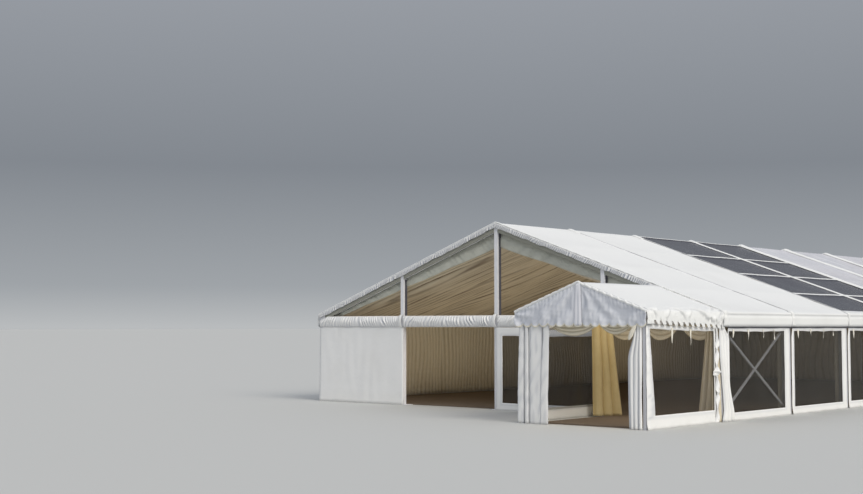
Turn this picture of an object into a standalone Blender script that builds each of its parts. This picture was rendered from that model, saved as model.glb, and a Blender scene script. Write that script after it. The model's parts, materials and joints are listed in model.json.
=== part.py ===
"""A clear-span frame marquee, 12 m wide and 7 bays long, with a small gabled entrance porch.

Metres, +Z up. X runs across the span, Y along the ridge towards the rear.
The origin is on the ground under the middle upright of the front gable.
"""

import math

import bmesh
import bpy

# Overall size of the main tent
BAY = 3.0
BAYS = 7
GABLE_BAYS = 4
HALF_SPAN = 6.0
EAVE_HEIGHT = 2.25
RIDGE_HEIGHT = 4.40
EAVE_ROUND = 0.05
EAVE_ROUND_STEPS = 5

# Aluminium frame
FRAME_DEPTH = 0.17
FRAME_WIDTH = 0.10
LEG_INSET = 0.07
UPRIGHT_WIDTH = 0.10
BEAM_DROP = 0.25
BEAM_DEPTH = 0.08
PLATE_SIDE = 0.26
PLATE_THICKNESS = 0.012
PLATE_INSET = 0.002
RIDGE_PURLIN_WIDTH = 0.10
RIDGE_PURLIN_DEPTH = 0.08
PURLIN_WIDTH = 0.08
PURLIN_DEPTH = 0.06
PURLIN_COUNT = 3
FIRST_PURLIN = 1.69
PURLIN_SPACING = 1.57
EAVE_RAIL_DEPTH = 0.12
BRACE_WIDTH = 0.05
BRACE_THICKNESS = 0.03
BRACE_FOOT = 0.12
BRACE_TOP_DROP = 0.30

# Fabric of the main tent
SHEET = 0.006
SEAM = 0.012
BAND_DEPTH = 0.30
TRIM_DEPTH = 0.13
TRIM_THICKNESS = 0.008
PELMET_DROP = 0.03
PELMET_DEPTH = 0.28
PELMET_THICKNESS = 0.020
LINING = 0.010
LINING_RIDGE_DROP = 0.53
LINING_EAVE_DROP = 0.03
FASCIA_THICKNESS = 0.008
FASCIA_TUCK = 0.03
FRONT_LINED_BAYS = 2
REAR_LINED_BAYS = 3
SMOKED_BAYS = (3, 4)

# Walls and windows
WALL = 0.010
PANE = 0.004
PANE_LAP = 0.05
WINDOW_BOTTOM = 0.17
WINDOW_TOP_DROP = 0.39
WINDOW_NEAR_MARGIN = 0.20
WINDOW_FAR_MARGIN = 0.28
GABLE_WINDOW_MARGIN = 0.20
FRONT_WINDOW_TOP_DROP = 0.51

# Floor
FLOOR = 0.03
MAT_WIDTH = 2.20
MAT_CLEARANCE = 0.10

# Entrance porch, in line with the right side wall
PORCH_DEPTH = 3.0
PORCH_WIDTH = 3.12
PORCH_RISE = 0.57
PORCH_POST = 0.065
PORCH_BAR_DROP = 0.23
PORCH_BAR_DEPTH = 0.05
PORCH_RAIL = 0.05
PORCH_RAIL_DROP = 0.13
PORCH_PLATE_SIDE = 0.14
PORCH_PLATE_THICKNESS = 0.010
PORCH_WALL_DROP = 0.17
PORCH_WINDOW_BOTTOM = 0.26
PORCH_WINDOW_TOP_DROP = 0.36
PORCH_WINDOW_MARGIN = 0.16
PORCH_CORNER_GAP = 0.21
VALANCE_DROP = 0.26
VALANCE_THICKNESS = 0.008
SCALLOP_DEPTH = 0.055
SCALLOP_PITCH = 0.215
SCALLOP_BOW = 0.010
CURTAIN_THICKNESS = 0.045
CURTAIN_CLEARANCE = 0.01
LEFT_CURTAIN_WIDTH = 0.70
RIGHT_CURTAIN_WIDTH = 0.31
RIGHT_CURTAIN_NECK = 0.20
RIGHT_CURTAIN_TIE = 0.50
SWAG_THICKNESS = 0.06
SWAG_HEAD = 0.05
SWAG_DROP = 0.30
SWAG_ENDS = (-0.86, 0.29, 1.12)
SWAG_STEPS = 8
DOOR_SWAGS = 3
DOOR_SWAG_DROP = 0.42
IVORY_THICKNESS = 0.09
IVORY_OFF_LEG = 0.12
IVORY_IN = 0.40
IVORY_OUT = 0.53
IVORY_WIDTH = 0.42
IVORY_CLEARANCE = 0.03
DRAPE_THICKNESS = 0.045
DRAPE_LAP = 0.23
DRAPE_WIDTH = 0.38
DRAPE_LEAN_FRONT = 0.13
DRAPE_LEAN_REAR = 0.18

# Clearance between pieces that touch
GAP = 0.0003
# How far pieces that are welded together run into each other
WELD = 0.02

# Worked out from the values above
LENGTH = BAY * BAYS
GABLE_BAY = 2 * HALF_SPAN / GABLE_BAYS
PITCH = math.atan2(RIDGE_HEIGHT - EAVE_HEIGHT, HALF_SPAN)
FRAME_TOP = SHEET + GAP
LEG_OUT = HALF_SPAN - LEG_INSET
LEG_IN = LEG_OUT - FRAME_DEPTH
FRONT_FACE = -FRAME_WIDTH / 2
REAR_FACE = LENGTH + FRAME_WIDTH / 2
BEAM_BOTTOM = EAVE_HEIGHT - BEAM_DROP
BEAM_TOP = BEAM_BOTTOM + BEAM_DEPTH
BAND_BOTTOM = EAVE_HEIGHT - BAND_DEPTH
PELMET_TOP = EAVE_HEIGHT - PELMET_DROP
PELMET_BOTTOM = PELMET_TOP - PELMET_DEPTH
WINDOW_TOP = EAVE_HEIGHT - WINDOW_TOP_DROP
PANE_OUT = GAP + PANE
WALL_IN = PANE_OUT + GAP
WALL_OUT = WALL_IN + WALL
PORCH_HALF = PORCH_WIDTH / 2
PORCH_CENTRE = HALF_SPAN - PORCH_HALF
PORCH_EAVE = EAVE_HEIGHT
PORCH_RIDGE = PORCH_EAVE + PORCH_RISE
PORCH_PITCH = math.atan2(PORCH_RISE, PORCH_HALF)
PORCH_LEG_OUT = PORCH_HALF - LEG_INSET
PORCH_LEG_IN = PORCH_LEG_OUT - PORCH_POST
PORCH_BAR_BOTTOM = PORCH_EAVE - PORCH_BAR_DROP
PORCH_BAR_TOP = PORCH_BAR_BOTTOM + PORCH_BAR_DEPTH
PORCH_WALL_TOP = PORCH_EAVE - PORCH_WALL_DROP
PORCH_REAR = FRONT_FACE - GAP - TRIM_THICKNESS - GAP
PORCH_FRONT = -PORCH_DEPTH
CURTAIN_FRONT = PORCH_FRONT - GAP - CURTAIN_THICKNESS
CURTAIN_TOP = PORCH_BAR_TOP - CURTAIN_CLEARANCE
VALANCE_BOTTOM = PORCH_EAVE - VALANCE_DROP


def roof_z(x, drop=0.0):
    """Height of the line parallel to the main roof's outer face, this far below it square to the slope."""
    return RIDGE_HEIGHT - abs(x) * math.tan(PITCH) - drop / math.cos(PITCH)


def slope_point(along, drop):
    """(x, z) on the right slope, this far down from the ridge and this far under the outer face."""
    x = along * math.cos(PITCH) - drop * math.sin(PITCH)
    z = RIDGE_HEIGHT - along * math.sin(PITCH) - drop * math.cos(PITCH)
    return x, z


def porch_z(off_centre, drop=0.0):
    """Height of the line parallel to the porch roof, measured from the porch's own centre line."""
    return PORCH_RIDGE - abs(off_centre) * math.tan(PORCH_PITCH) - drop / math.cos(PORCH_PITCH)


def lining_z(x, drop=0.0):
    """Height of the ceiling lining, which hangs lowest under the ridge."""
    ridge = RIDGE_HEIGHT - LINING_RIDGE_DROP
    eave = roof_z(LEG_IN, FRAME_TOP + FRAME_DEPTH) - LINING_EAVE_DROP
    return ridge - (ridge - eave) * abs(x) / LEG_IN - drop


def purlin_places():
    """Distance from the ridge to the middle of each purlin, down the slope."""
    return [FIRST_PURLIN + PURLIN_SPACING * k for k in range(PURLIN_COUNT)]


def upright_places():
    """X of each upright of a gable."""
    return [GABLE_BAY * k - HALF_SPAN for k in range(1, GABLE_BAYS)]


# Scene, collections and materials

for old in list(bpy.data.objects):
    bpy.data.objects.remove(old, do_unlink=True)

PARTS = bpy.data.collections.new("marquee")
CUTTERS = bpy.data.collections.new("cutters")
for collection in (PARTS, CUTTERS):
    bpy.context.scene.collection.children.link(collection)


def material(name, colour, roughness, metallic=0.0, alpha=1.0):
    made = bpy.data.materials.new(name)
    made.use_nodes = True
    shader = made.node_tree.nodes["Principled BSDF"]
    shader.inputs["Base Color"].default_value = (*colour, 1.0)
    shader.inputs["Roughness"].default_value = roughness
    shader.inputs["Metallic"].default_value = metallic
    shader.inputs["Alpha"].default_value = alpha
    return made


ALUMINIUM = material("aluminium", (0.62, 0.63, 0.65), 0.42, metallic=0.9)
WHITE_PVC = material("white_pvc", (0.86, 0.87, 0.88), 0.45)
PEARL_PVC = material("pearl_pvc", (0.74, 0.77, 0.81), 0.30)
SMOKED_PVC = material("smoked_pvc", (0.10, 0.10, 0.13), 0.18, alpha=0.88)
CLEAR_PVC = material("clear_pvc", (0.72, 0.76, 0.78), 0.08, alpha=0.30)
IVORY_LINING = material("ivory_lining", (0.62, 0.55, 0.42), 0.80)
COIR = material("coir_floor", (0.28, 0.20, 0.13), 0.95)

# Helpers that make one solid each


def place(obj, collection=PARTS):
    collection.objects.link(obj)
    return obj


def as_mesh(obj, name, look):
    """A mesh object with the shape of this curve, its caps welded on. The curve is removed."""
    bpy.context.view_layer.update()
    graph = bpy.context.evaluated_depsgraph_get()
    mesh = bpy.data.meshes.new_from_object(obj.evaluated_get(graph))
    mesh.name = name
    body = bmesh.new()
    body.from_mesh(mesh)
    bmesh.ops.remove_doubles(body, verts=body.verts, dist=1e-5)
    bmesh.ops.dissolve_degenerate(body, edges=body.edges, dist=1e-5)
    bmesh.ops.recalc_face_normals(body, faces=body.faces)
    body.to_mesh(mesh)
    body.free()
    mesh.materials.clear()
    mesh.materials.append(look)
    made = bpy.data.objects.new(name, mesh)
    made.matrix_world = obj.matrix_world.copy()
    bpy.data.objects.remove(obj, do_unlink=True)
    return place(made)


def turn_onto(plane):
    """Rotation that lays a flat outline onto a plane, and the axis that the plane faces."""
    if plane == "XY":
        return (0.0, 0.0, 0.0), 2
    if plane == "XZ":
        return (math.pi / 2, 0.0, 0.0), 1
    return (math.pi / 2, 0.0, math.pi / 2), 0


def flat(name, loops, plane, low, high, look):
    """A flat outline in one plane, with any inner loops as holes, from low to high across that plane."""
    curve = bpy.data.curves.new(name, "CURVE")
    curve.dimensions = "2D"
    curve.fill_mode = "BOTH"
    curve.extrude = (high - low) / 2
    for loop in loops:
        spline = curve.splines.new("POLY")
        spline.points.add(len(loop) - 1)
        for point, (u, v) in zip(spline.points, loop):
            point.co = (u, v, 0.0, 1.0)
        spline.use_cyclic_u = True
    outline = place(bpy.data.objects.new(name + "_outline", curve))
    rotation, facing = turn_onto(plane)
    outline.rotation_euler = rotation
    outline.location[facing] = (low + high) / 2
    return as_mesh(outline, name, look)


def box(name, low, high, look, collection=PARTS):
    """A box between two corners."""
    mesh = bpy.data.meshes.new(name)
    body = bmesh.new()
    bmesh.ops.create_cube(body, size=1.0)
    for vert in body.verts:
        for axis in range(3):
            vert.co[axis] *= high[axis] - low[axis]
    body.to_mesh(mesh)
    body.free()
    mesh.materials.append(look)
    made = bpy.data.objects.new(name, mesh)
    made.location = [(a + b) / 2 for a, b in zip(low, high)]
    return place(made, collection)


def helper(obj):
    """Hides a solid that is only joined to another."""
    for holder in list(obj.users_collection):
        holder.objects.unlink(obj)
    CUTTERS.objects.link(obj)
    obj.hide_render = True
    obj.display_type = "WIRE"
    return obj


def weld(target, extra):
    """Joins a second solid to the target as one body."""
    modifier = target.modifiers.new("weld_" + extra.name, "BOOLEAN")
    modifier.operation = "UNION"
    modifier.solver = "EXACT"
    modifier.object = helper(extra)
    return target


def mirrored(points):
    """A right-hand chain of points from the centre outwards and back, closed over the left half."""
    left = [(-x, z) for x, z in reversed(points) if x > GAP]
    return points + left


def eave_line(inset):
    """Right half of the roof's outer face moved in by an inset: ridge, slope and the rounded eave."""
    round_x = HALF_SPAN - EAVE_ROUND
    round_z = roof_z(round_x, EAVE_ROUND)
    radius = EAVE_ROUND - inset
    points = [(0.0, roof_z(0.0, inset))]
    for step in range(EAVE_ROUND_STEPS + 1):
        angle = (math.pi / 2 - PITCH) * (1 - step / EAVE_ROUND_STEPS)
        points.append((round_x + radius * math.cos(angle), round_z + radius * math.sin(angle)))
    return points


def rectangle(u0, v0, u1, v1):
    return [(u0, v0), (u1, v0), (u1, v1), (u0, v1)]


# Aluminium frame


def ridge_purlin_top():
    return roof_z(RIDGE_PURLIN_WIDTH / 2, FRAME_TOP)


def rafter_top():
    """Top of the right rafter and leg, from the ridge notch to the foot, with a seat for each purlin."""
    notch = RIDGE_PURLIN_WIDTH / 2 + GAP
    seat = ridge_purlin_top() - RIDGE_PURLIN_DEPTH - GAP
    points = [(0.0, seat), (notch, seat), (notch, roof_z(notch, FRAME_TOP))]
    for middle in purlin_places():
        near = middle - PURLIN_WIDTH / 2 - GAP
        far = middle + PURLIN_WIDTH / 2 + GAP
        floor = FRAME_TOP + PURLIN_DEPTH + GAP
        points.append(slope_point(near, FRAME_TOP))
        points.append(slope_point(near, floor))
        points.append(slope_point(far, floor))
        points.append(slope_point(far, FRAME_TOP))
    points.append((LEG_OUT, roof_z(LEG_OUT, FRAME_TOP)))
    return points


def underside(x):
    return roof_z(x, FRAME_TOP + FRAME_DEPTH)


def portal_loops():
    foot = PLATE_THICKNESS / 2
    inside = [
        (LEG_OUT, foot),
        (LEG_IN, foot),
        (LEG_IN, underside(LEG_IN)),
        (0.0, underside(0.0)),
    ]
    right = rafter_top()[1:] + inside
    left = [(-x, z) for x, z in reversed(right) if x > GAP]
    return [right + left]


def gable_loops():
    """A portal with uprights and an eave beam: one outer loop and a hole between each pair of uprights."""
    foot = PLATE_THICKNESS / 2
    half = UPRIGHT_WIDTH / 2
    feet = [(LEG_OUT, foot), (LEG_IN, foot), (LEG_IN, BEAM_BOTTOM)]
    for x in reversed(upright_places()):
        feet.append((x + half, BEAM_BOTTOM))
        feet.append((x + half, foot))
        feet.append((x - half, foot))
        feet.append((x - half, BEAM_BOTTOM))
    feet.append((-LEG_IN, BEAM_BOTTOM))
    feet.append((-LEG_IN, foot))
    feet.append((-LEG_OUT, foot))
    top = rafter_top()[1:]
    outer = top + feet + [(-x, z) for x, z in reversed(top)]
    edges = [-LEG_IN]
    for x in upright_places():
        edges += [x - half, x + half]
    edges.append(LEG_IN)
    holes = []
    for low, high in zip(edges[::2], edges[1::2]):
        holes.append([(low, BEAM_TOP), (high, BEAM_TOP), (high, underside(high)), (low, underside(low))])
    return [outer] + holes


def base_plate(name, x_low, x_high, y_low):
    low = (x_low, y_low, 0.0)
    high = (x_high, y_low + PLATE_SIDE, PLATE_THICKNESS)
    return box(name, low, high, ALUMINIUM)


def add_leg_plates(frame, y_low):
    outer = LEG_OUT - PLATE_INSET
    inner = outer - PLATE_SIDE
    weld(frame, base_plate(frame.name + "_plate_right", inner, outer, y_low))
    weld(frame, base_plate(frame.name + "_plate_left", -outer, -inner, y_low))


def gable_frame(name, y, y_plate):
    frame = flat(name, gable_loops(), "XZ", y - FRAME_WIDTH / 2, y + FRAME_WIDTH / 2, ALUMINIUM)
    add_leg_plates(frame, y_plate)
    for number, x in enumerate(upright_places(), 1):
        plate = base_plate(f"{name}_plate_{number}", x - PLATE_SIDE / 2, x + PLATE_SIDE / 2, y_plate)
        weld(frame, plate)
    return frame


def make_frames():
    gable_frame("front_gable_frame", 0.0, FRONT_FACE + PLATE_INSET)
    for number in range(1, BAYS):
        y = number * BAY
        low = y - FRAME_WIDTH / 2
        frame = flat(f"portal_frame_{number + 1}", portal_loops(), "XZ", low, low + FRAME_WIDTH, ALUMINIUM)
        add_leg_plates(frame, y - PLATE_SIDE / 2)
    gable_frame("rear_gable_frame", LENGTH, REAR_FACE - PLATE_INSET - PLATE_SIDE)


def make_purlins():
    top = ridge_purlin_top()
    half = RIDGE_PURLIN_WIDTH / 2
    box("ridge_purlin", (-half, FRONT_FACE, top - RIDGE_PURLIN_DEPTH), (half, REAR_FACE, top), ALUMINIUM)
    for number, middle in enumerate(purlin_places(), 1):
        near = middle - PURLIN_WIDTH / 2
        far = middle + PURLIN_WIDTH / 2
        floor = FRAME_TOP + PURLIN_DEPTH
        section = [
            slope_point(near, FRAME_TOP),
            slope_point(far, FRAME_TOP),
            slope_point(far, floor),
            slope_point(near, floor),
        ]
        other = [(-x, z) for x, z in section]
        flat(f"right_purlin_{number}", [section], "XZ", FRONT_FACE, REAR_FACE, ALUMINIUM)
        flat(f"left_purlin_{number}", [other], "XZ", FRONT_FACE, REAR_FACE, ALUMINIUM)


def eave_rail_bottom():
    return roof_z(HALF_SPAN - FRAME_TOP, FRAME_TOP) - EAVE_RAIL_DEPTH


def make_eave_rails():
    """The rails that the roof sheets turn over, rounded like them."""
    inner = LEG_OUT + GAP
    outer = HALF_SPAN - FRAME_TOP
    bottom = eave_rail_bottom()
    section = [(outer, bottom), (inner, bottom), (inner, roof_z(inner, FRAME_TOP))]
    section += eave_line(FRAME_TOP)[1:]
    other = [(-x, z) for x, z in section]
    flat("right_eave_rail", [section], "XZ", FRONT_FACE, REAR_FACE, ALUMINIUM)
    flat("left_eave_rail", [other], "XZ", FRONT_FACE, REAR_FACE, ALUMINIUM)


def brace_bar(name, x, z_start, z_end, thickness):
    start = FRAME_WIDTH / 2 + GAP
    end = BAY - FRAME_WIDTH / 2 - GAP
    half = BRACE_WIDTH / 2 * math.hypot(end - start, z_end - z_start) / (end - start)
    loop = [(start, z_start - half), (end, z_end - half), (end, z_end + half), (start, z_start + half)]
    return flat(name, [loop], "YZ", x - thickness / 2, x + thickness / 2, ALUMINIUM)


def make_braces():
    """Crossed bars in the first bay of each side, between the legs."""
    for side, sign in (("right", 1), ("left", -1)):
        x = sign * (LEG_OUT + LEG_IN) / 2
        top = EAVE_HEIGHT - BRACE_TOP_DROP
        brace = brace_bar(f"{side}_wall_brace", x, BRACE_FOOT, top, BRACE_THICKNESS)
        second = BRACE_THICKNESS - PLATE_INSET
        weld(brace, brace_bar(f"{side}_brace_second", x, top, BRACE_FOOT, second))


# Roof fabric


def make_roof_sheets():
    edge = [(HALF_SPAN, BAND_BOTTOM), (HALF_SPAN - SHEET, BAND_BOTTOM)]
    section = mirrored(eave_line(0.0) + edge + eave_line(SHEET)[::-1])
    for bay in range(1, BAYS + 1):
        start = FRONT_FACE if bay == 1 else (bay - 1) * BAY + SEAM / 2
        end = REAR_FACE + PANE_OUT if bay == BAYS else bay * BAY - SEAM / 2
        look = WHITE_PVC if bay < min(SMOKED_BAYS) else SMOKED_PVC if bay in SMOKED_BAYS else PEARL_PVC
        flat(f"roof_sheet_{bay}", [section], "XZ", start, end, look)


def make_front_trim():
    """The gathered edge of the roof fabric, laced down over the front rafters."""
    lower = [(HALF_SPAN, roof_z(HALF_SPAN, TRIM_DEPTH)), (0.0, roof_z(0.0, TRIM_DEPTH))]
    loop = mirrored(eave_line(0.0) + lower)
    back = FRONT_FACE - GAP
    flat("front_verge_trim", [loop], "XZ", back - TRIM_THICKNESS, back, WHITE_PVC)


def make_linings():
    """Ceiling cloth over both ends of the hall, and over its left half beside the smoked bays."""
    edge = LEG_IN - GAP
    half = [
        (0.0, lining_z(0.0)),
        (edge, lining_z(edge)),
        (edge, lining_z(edge, LINING)),
        (0.0, lining_z(0.0, LINING)),
    ]
    section = mirrored(half)
    back_of_fascia = FRAME_WIDTH / 2 + GAP + FASCIA_THICKNESS
    front_end = FRONT_LINED_BAYS * BAY
    flat("front_roof_lining", [section], "XZ", back_of_fascia + GAP, front_end, IVORY_LINING)
    rear_start = LENGTH - REAR_LINED_BAYS * BAY
    flat("rear_roof_lining", [section], "XZ", rear_start, LENGTH - FRAME_WIDTH / 2 - GAP, IVORY_LINING)
    left_half = [(-x, z) for x, z in half]
    flat("middle_left_lining", [left_half], "XZ", front_end + GAP, rear_start - GAP, IVORY_LINING)
    top = FRAME_TOP + RIDGE_PURLIN_DEPTH + FASCIA_TUCK
    fascia = mirrored(
        [
            (0.0, roof_z(0.0, top)),
            (edge, roof_z(edge, top)),
            (edge, lining_z(edge, LINING)),
            (0.0, lining_z(0.0, LINING)),
        ]
    )
    flat("front_lining_fascia", [fascia], "XZ", FRAME_WIDTH / 2 + GAP, back_of_fascia, WHITE_PVC)


# Walls, windows and pelmet of the main tent


def side_window_loops():
    loops = []
    for bay in range(BAYS):
        low = bay * BAY + WINDOW_NEAR_MARGIN
        high = (bay + 1) * BAY - WINDOW_FAR_MARGIN
        loops.append(rectangle(low, WINDOW_BOTTOM, high, WINDOW_TOP))
    return loops


def make_side_walls():
    rear = REAR_FACE + PANE_OUT
    outer = rectangle(FRONT_FACE, 0.0, rear, eave_rail_bottom() - GAP)
    pane = rectangle(FRONT_FACE, WINDOW_BOTTOM - PANE_LAP, REAR_FACE, WINDOW_TOP + PANE_LAP)
    for side, sign in (("right", 1), ("left", -1)):
        wall = sorted((sign * (LEG_OUT + WALL_IN), sign * (LEG_OUT + WALL_OUT)))
        sheet = sorted((sign * (LEG_OUT + GAP), sign * (LEG_OUT + PANE_OUT)))
        flat(f"{side}_side_wall", [outer] + side_window_loops(), "YZ", wall[0], wall[1], WHITE_PVC)
        flat(f"{side}_side_windows", [pane], "YZ", sheet[0], sheet[1], CLEAR_PVC)


def make_rear_wall():
    outer = mirrored(eave_line(0.0) + [(HALF_SPAN, 0.0)])
    windows = []
    for bay in range(GABLE_BAYS):
        low = bay * GABLE_BAY - HALF_SPAN + GABLE_WINDOW_MARGIN + LEG_INSET
        high = (bay + 1) * GABLE_BAY - HALF_SPAN - GABLE_WINDOW_MARGIN - LEG_INSET
        windows.append(rectangle(low, WINDOW_BOTTOM, high, WINDOW_TOP))
    flat("rear_wall", [outer] + windows, "XZ", REAR_FACE + WALL_IN, REAR_FACE + WALL_OUT, WHITE_PVC)
    pane = rectangle(-LEG_OUT, WINDOW_BOTTOM - PANE_LAP, LEG_OUT, WINDOW_TOP + PANE_LAP)
    flat("rear_windows", [pane], "XZ", REAR_FACE + GAP, REAR_FACE + PANE_OUT, CLEAR_PVC)


def make_front_walls():
    """Fabric panels in the first and third gable bays; the second is open and the fourth leads to the porch."""
    top = PELMET_BOTTOM - GAP
    first, middle, last = upright_places()
    panel = rectangle(middle, 0.0, PORCH_CENTRE - PORCH_LEG_OUT - GAP, top)
    low = middle + GABLE_WINDOW_MARGIN
    high = last - GABLE_WINDOW_MARGIN
    window_top = EAVE_HEIGHT - FRONT_WINDOW_TOP_DROP
    window = rectangle(low, WINDOW_BOTTOM, high, window_top)
    flat("front_wall_right", [panel, window], "XZ", FRONT_FACE - WALL_OUT, FRONT_FACE - WALL_IN, WHITE_PVC)
    pane = rectangle(low - PANE_LAP, WINDOW_BOTTOM - PANE_LAP, high + PANE_LAP, window_top + PANE_LAP)
    flat("front_window", [pane], "XZ", FRONT_FACE - PANE_OUT, FRONT_FACE - GAP, CLEAR_PVC)
    plain = rectangle(-LEG_OUT - WALL_OUT, 0.0, first + UPRIGHT_WIDTH / 2, top)
    flat("front_wall_left", [plain], "XZ", FRONT_FACE - GAP - WALL, FRONT_FACE - GAP, WHITE_PVC)


def make_pelmets():
    """The gathered bands over the front openings, one in each bay, with the uprights showing between."""
    half = UPRIGHT_WIDTH / 2
    first, middle, last = upright_places()
    meets_trim = (roof_z(0.0, TRIM_DEPTH) - GAP - PELMET_TOP) / math.tan(PITCH)
    porch_edge = PORCH_CENTRE - PORCH_HALF - GAP
    left = [
        (-LEG_OUT, PELMET_BOTTOM),
        (first - half - GAP, PELMET_BOTTOM),
        (first - half - GAP, PELMET_TOP),
        (-meets_trim, PELMET_TOP),
        (-LEG_OUT, roof_z(LEG_OUT, TRIM_DEPTH) - GAP),
    ]
    centre = rectangle(first + half + GAP, PELMET_BOTTOM, middle - half - GAP, PELMET_TOP)
    right = rectangle(middle + half + GAP, PELMET_BOTTOM, porch_edge, PELMET_TOP)
    back = FRONT_FACE - GAP
    for name, loop in (("left", left), ("centre", centre), ("right", right)):
        flat(f"front_pelmet_{name}", [loop], "XZ", back - PELMET_THICKNESS, back, WHITE_PVC)


def make_floor():
    """Matting over boards inside the walls, with a runner through the doorway into the porch."""
    side = LEG_OUT - PLATE_INSET - PLATE_SIDE - GAP
    front = FRONT_FACE + PLATE_INSET + PLATE_SIDE + GAP
    rear = REAR_FACE - PLATE_INSET - PLATE_SIDE - GAP
    mat_low = PORCH_CENTRE - MAT_WIDTH / 2
    mat_high = PORCH_CENTRE + MAT_WIDTH / 2
    mat_front = PORCH_FRONT + PORCH_POST + MAT_CLEARANCE
    loop = [
        (-side, front),
        (mat_low, front),
        (mat_low, mat_front),
        (mat_high, mat_front),
        (mat_high, front),
        (side, front),
        (side, rear),
        (-side, rear),
    ]
    flat("floor", [loop], "XY", 0.0, FLOOR, COIR)


# Entrance porch


def porch_portal_loops():
    """Two posts, two rafters and a bar across at eave level, drawn about the porch's centre line."""
    foot = PORCH_PLATE_THICKNESS / 2
    top = FRAME_TOP
    below = FRAME_TOP + PORCH_POST
    right = [
        (0.0, porch_z(0.0, top)),
        (PORCH_LEG_OUT, porch_z(PORCH_LEG_OUT, top)),
        (PORCH_LEG_OUT, foot),
        (PORCH_LEG_IN, foot),
        (PORCH_LEG_IN, PORCH_BAR_BOTTOM),
    ]
    left = [(-x, z) for x, z in reversed(right) if x > GAP]
    hole = [
        (-PORCH_LEG_IN, PORCH_BAR_TOP),
        (PORCH_LEG_IN, PORCH_BAR_TOP),
        (PORCH_LEG_IN, porch_z(PORCH_LEG_IN, below)),
        (0.0, porch_z(0.0, below)),
        (-PORCH_LEG_IN, porch_z(PORCH_LEG_IN, below)),
    ]
    return [[(PORCH_CENTRE + x, z) for x, z in loop] for loop in (right + left, hole)]


def make_porch_frame():
    front = (PORCH_FRONT, PORCH_FRONT + PORCH_POST)
    rear = (PORCH_REAR - PORCH_POST, PORCH_REAR)
    frame = flat("porch_frame", porch_portal_loops(), "XZ", front[0], front[1], ALUMINIUM)
    weld(frame, flat("porch_rear_portal", porch_portal_loops(), "XZ", rear[0], rear[1], ALUMINIUM))
    y_low = front[1] - WELD
    y_high = rear[0] + WELD
    half = PORCH_RAIL / 2
    ridge_top = porch_z(half, FRAME_TOP) - PLATE_INSET
    ridge_low = (PORCH_CENTRE - half, y_low, ridge_top - PORCH_RAIL)
    weld(frame, box("porch_ridge_rail", ridge_low, (PORCH_CENTRE + half, y_high, ridge_top), ALUMINIUM))
    for side, sign in (("right", 1), ("left", -1)):
        outer = PORCH_CENTRE + sign * (PORCH_LEG_OUT - PLATE_INSET)
        x_low, x_high = sorted((outer, outer - sign * PORCH_RAIL))
        low = (x_low, y_low, PORCH_EAVE - PORCH_RAIL_DROP)
        high = (x_high, y_high, PORCH_EAVE - PORCH_RAIL_DROP + PORCH_RAIL)
        weld(frame, box(f"porch_{side}_rail", low, high, ALUMINIUM))
        x_low, x_high = sorted((outer, outer - sign * PORCH_PLATE_SIDE))
        for end, y in (("front", front[0] + PLATE_INSET), ("rear", rear[1] - PLATE_INSET - PORCH_PLATE_SIDE)):
            low = (x_low, y, 0.0)
            high = (x_high, y + PORCH_PLATE_SIDE, PORCH_PLATE_THICKNESS)
            weld(frame, box(f"porch_{side}_{end}_plate", low, high, ALUMINIUM))


def scallops(start, end):
    """Points of a scalloped edge from start to end: round tongues below a line that bows up a little."""
    count = round((end - start) / SCALLOP_PITCH)
    points = []
    for number in range(count):
        for share in (0.0, 0.25, 0.5, 0.75):
            along = (number + share) / count
            bow = SCALLOP_BOW * math.sin(math.pi * along)
            drop = SCALLOP_DEPTH * math.sin(math.pi * share)
            points.append((start + (end - start) * along, VALANCE_BOTTOM + bow - drop))
    points.append((end, VALANCE_BOTTOM))
    return points


def make_porch_roof():
    section = [
        (0.0, PORCH_RIDGE),
        (PORCH_HALF, PORCH_EAVE),
        (PORCH_HALF, PORCH_EAVE - 2 * SHEET),
        (PORCH_HALF - SHEET, PORCH_EAVE - 2 * SHEET),
        (PORCH_HALF - SHEET, porch_z(PORCH_HALF - SHEET, SHEET)),
        (0.0, porch_z(0.0, SHEET)),
    ]
    loop = [(PORCH_CENTRE + x, z) for x, z in mirrored(section)]
    roof = flat("porch_roof", [loop], "XZ", CURTAIN_FRONT, PORCH_REAR, WHITE_PVC)
    edge = scallops(CURTAIN_FRONT + GAP, PORCH_REAR - GAP)
    fold = PORCH_EAVE - 1.5 * SHEET
    loop = edge + [(PORCH_REAR - GAP, fold), (CURTAIN_FRONT + GAP, fold)]
    for side, sign in (("right", 1), ("left", -1)):
        outer = PORCH_CENTRE + sign * (PORCH_HALF - SHEET * 0.1)
        low, high = sorted((outer, outer - sign * SHEET * 0.8))
        weld(roof, flat(f"porch_{side}_valance", [loop], "YZ", low, high, WHITE_PVC))


def make_porch_valance():
    """The gable of the porch: a triangle of fabric with a scalloped edge over the entrance."""
    edge = scallops(-PORCH_HALF, PORCH_HALF)
    loop = edge + [(PORCH_HALF, PORCH_EAVE), (0.0, PORCH_RIDGE), (-PORCH_HALF, PORCH_EAVE)]
    back = CURTAIN_FRONT - GAP
    placed = [(PORCH_CENTRE + x, z) for x, z in loop]
    flat("porch_gable_valance", [placed], "XZ", back - VALANCE_THICKNESS, back, WHITE_PVC)


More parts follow.
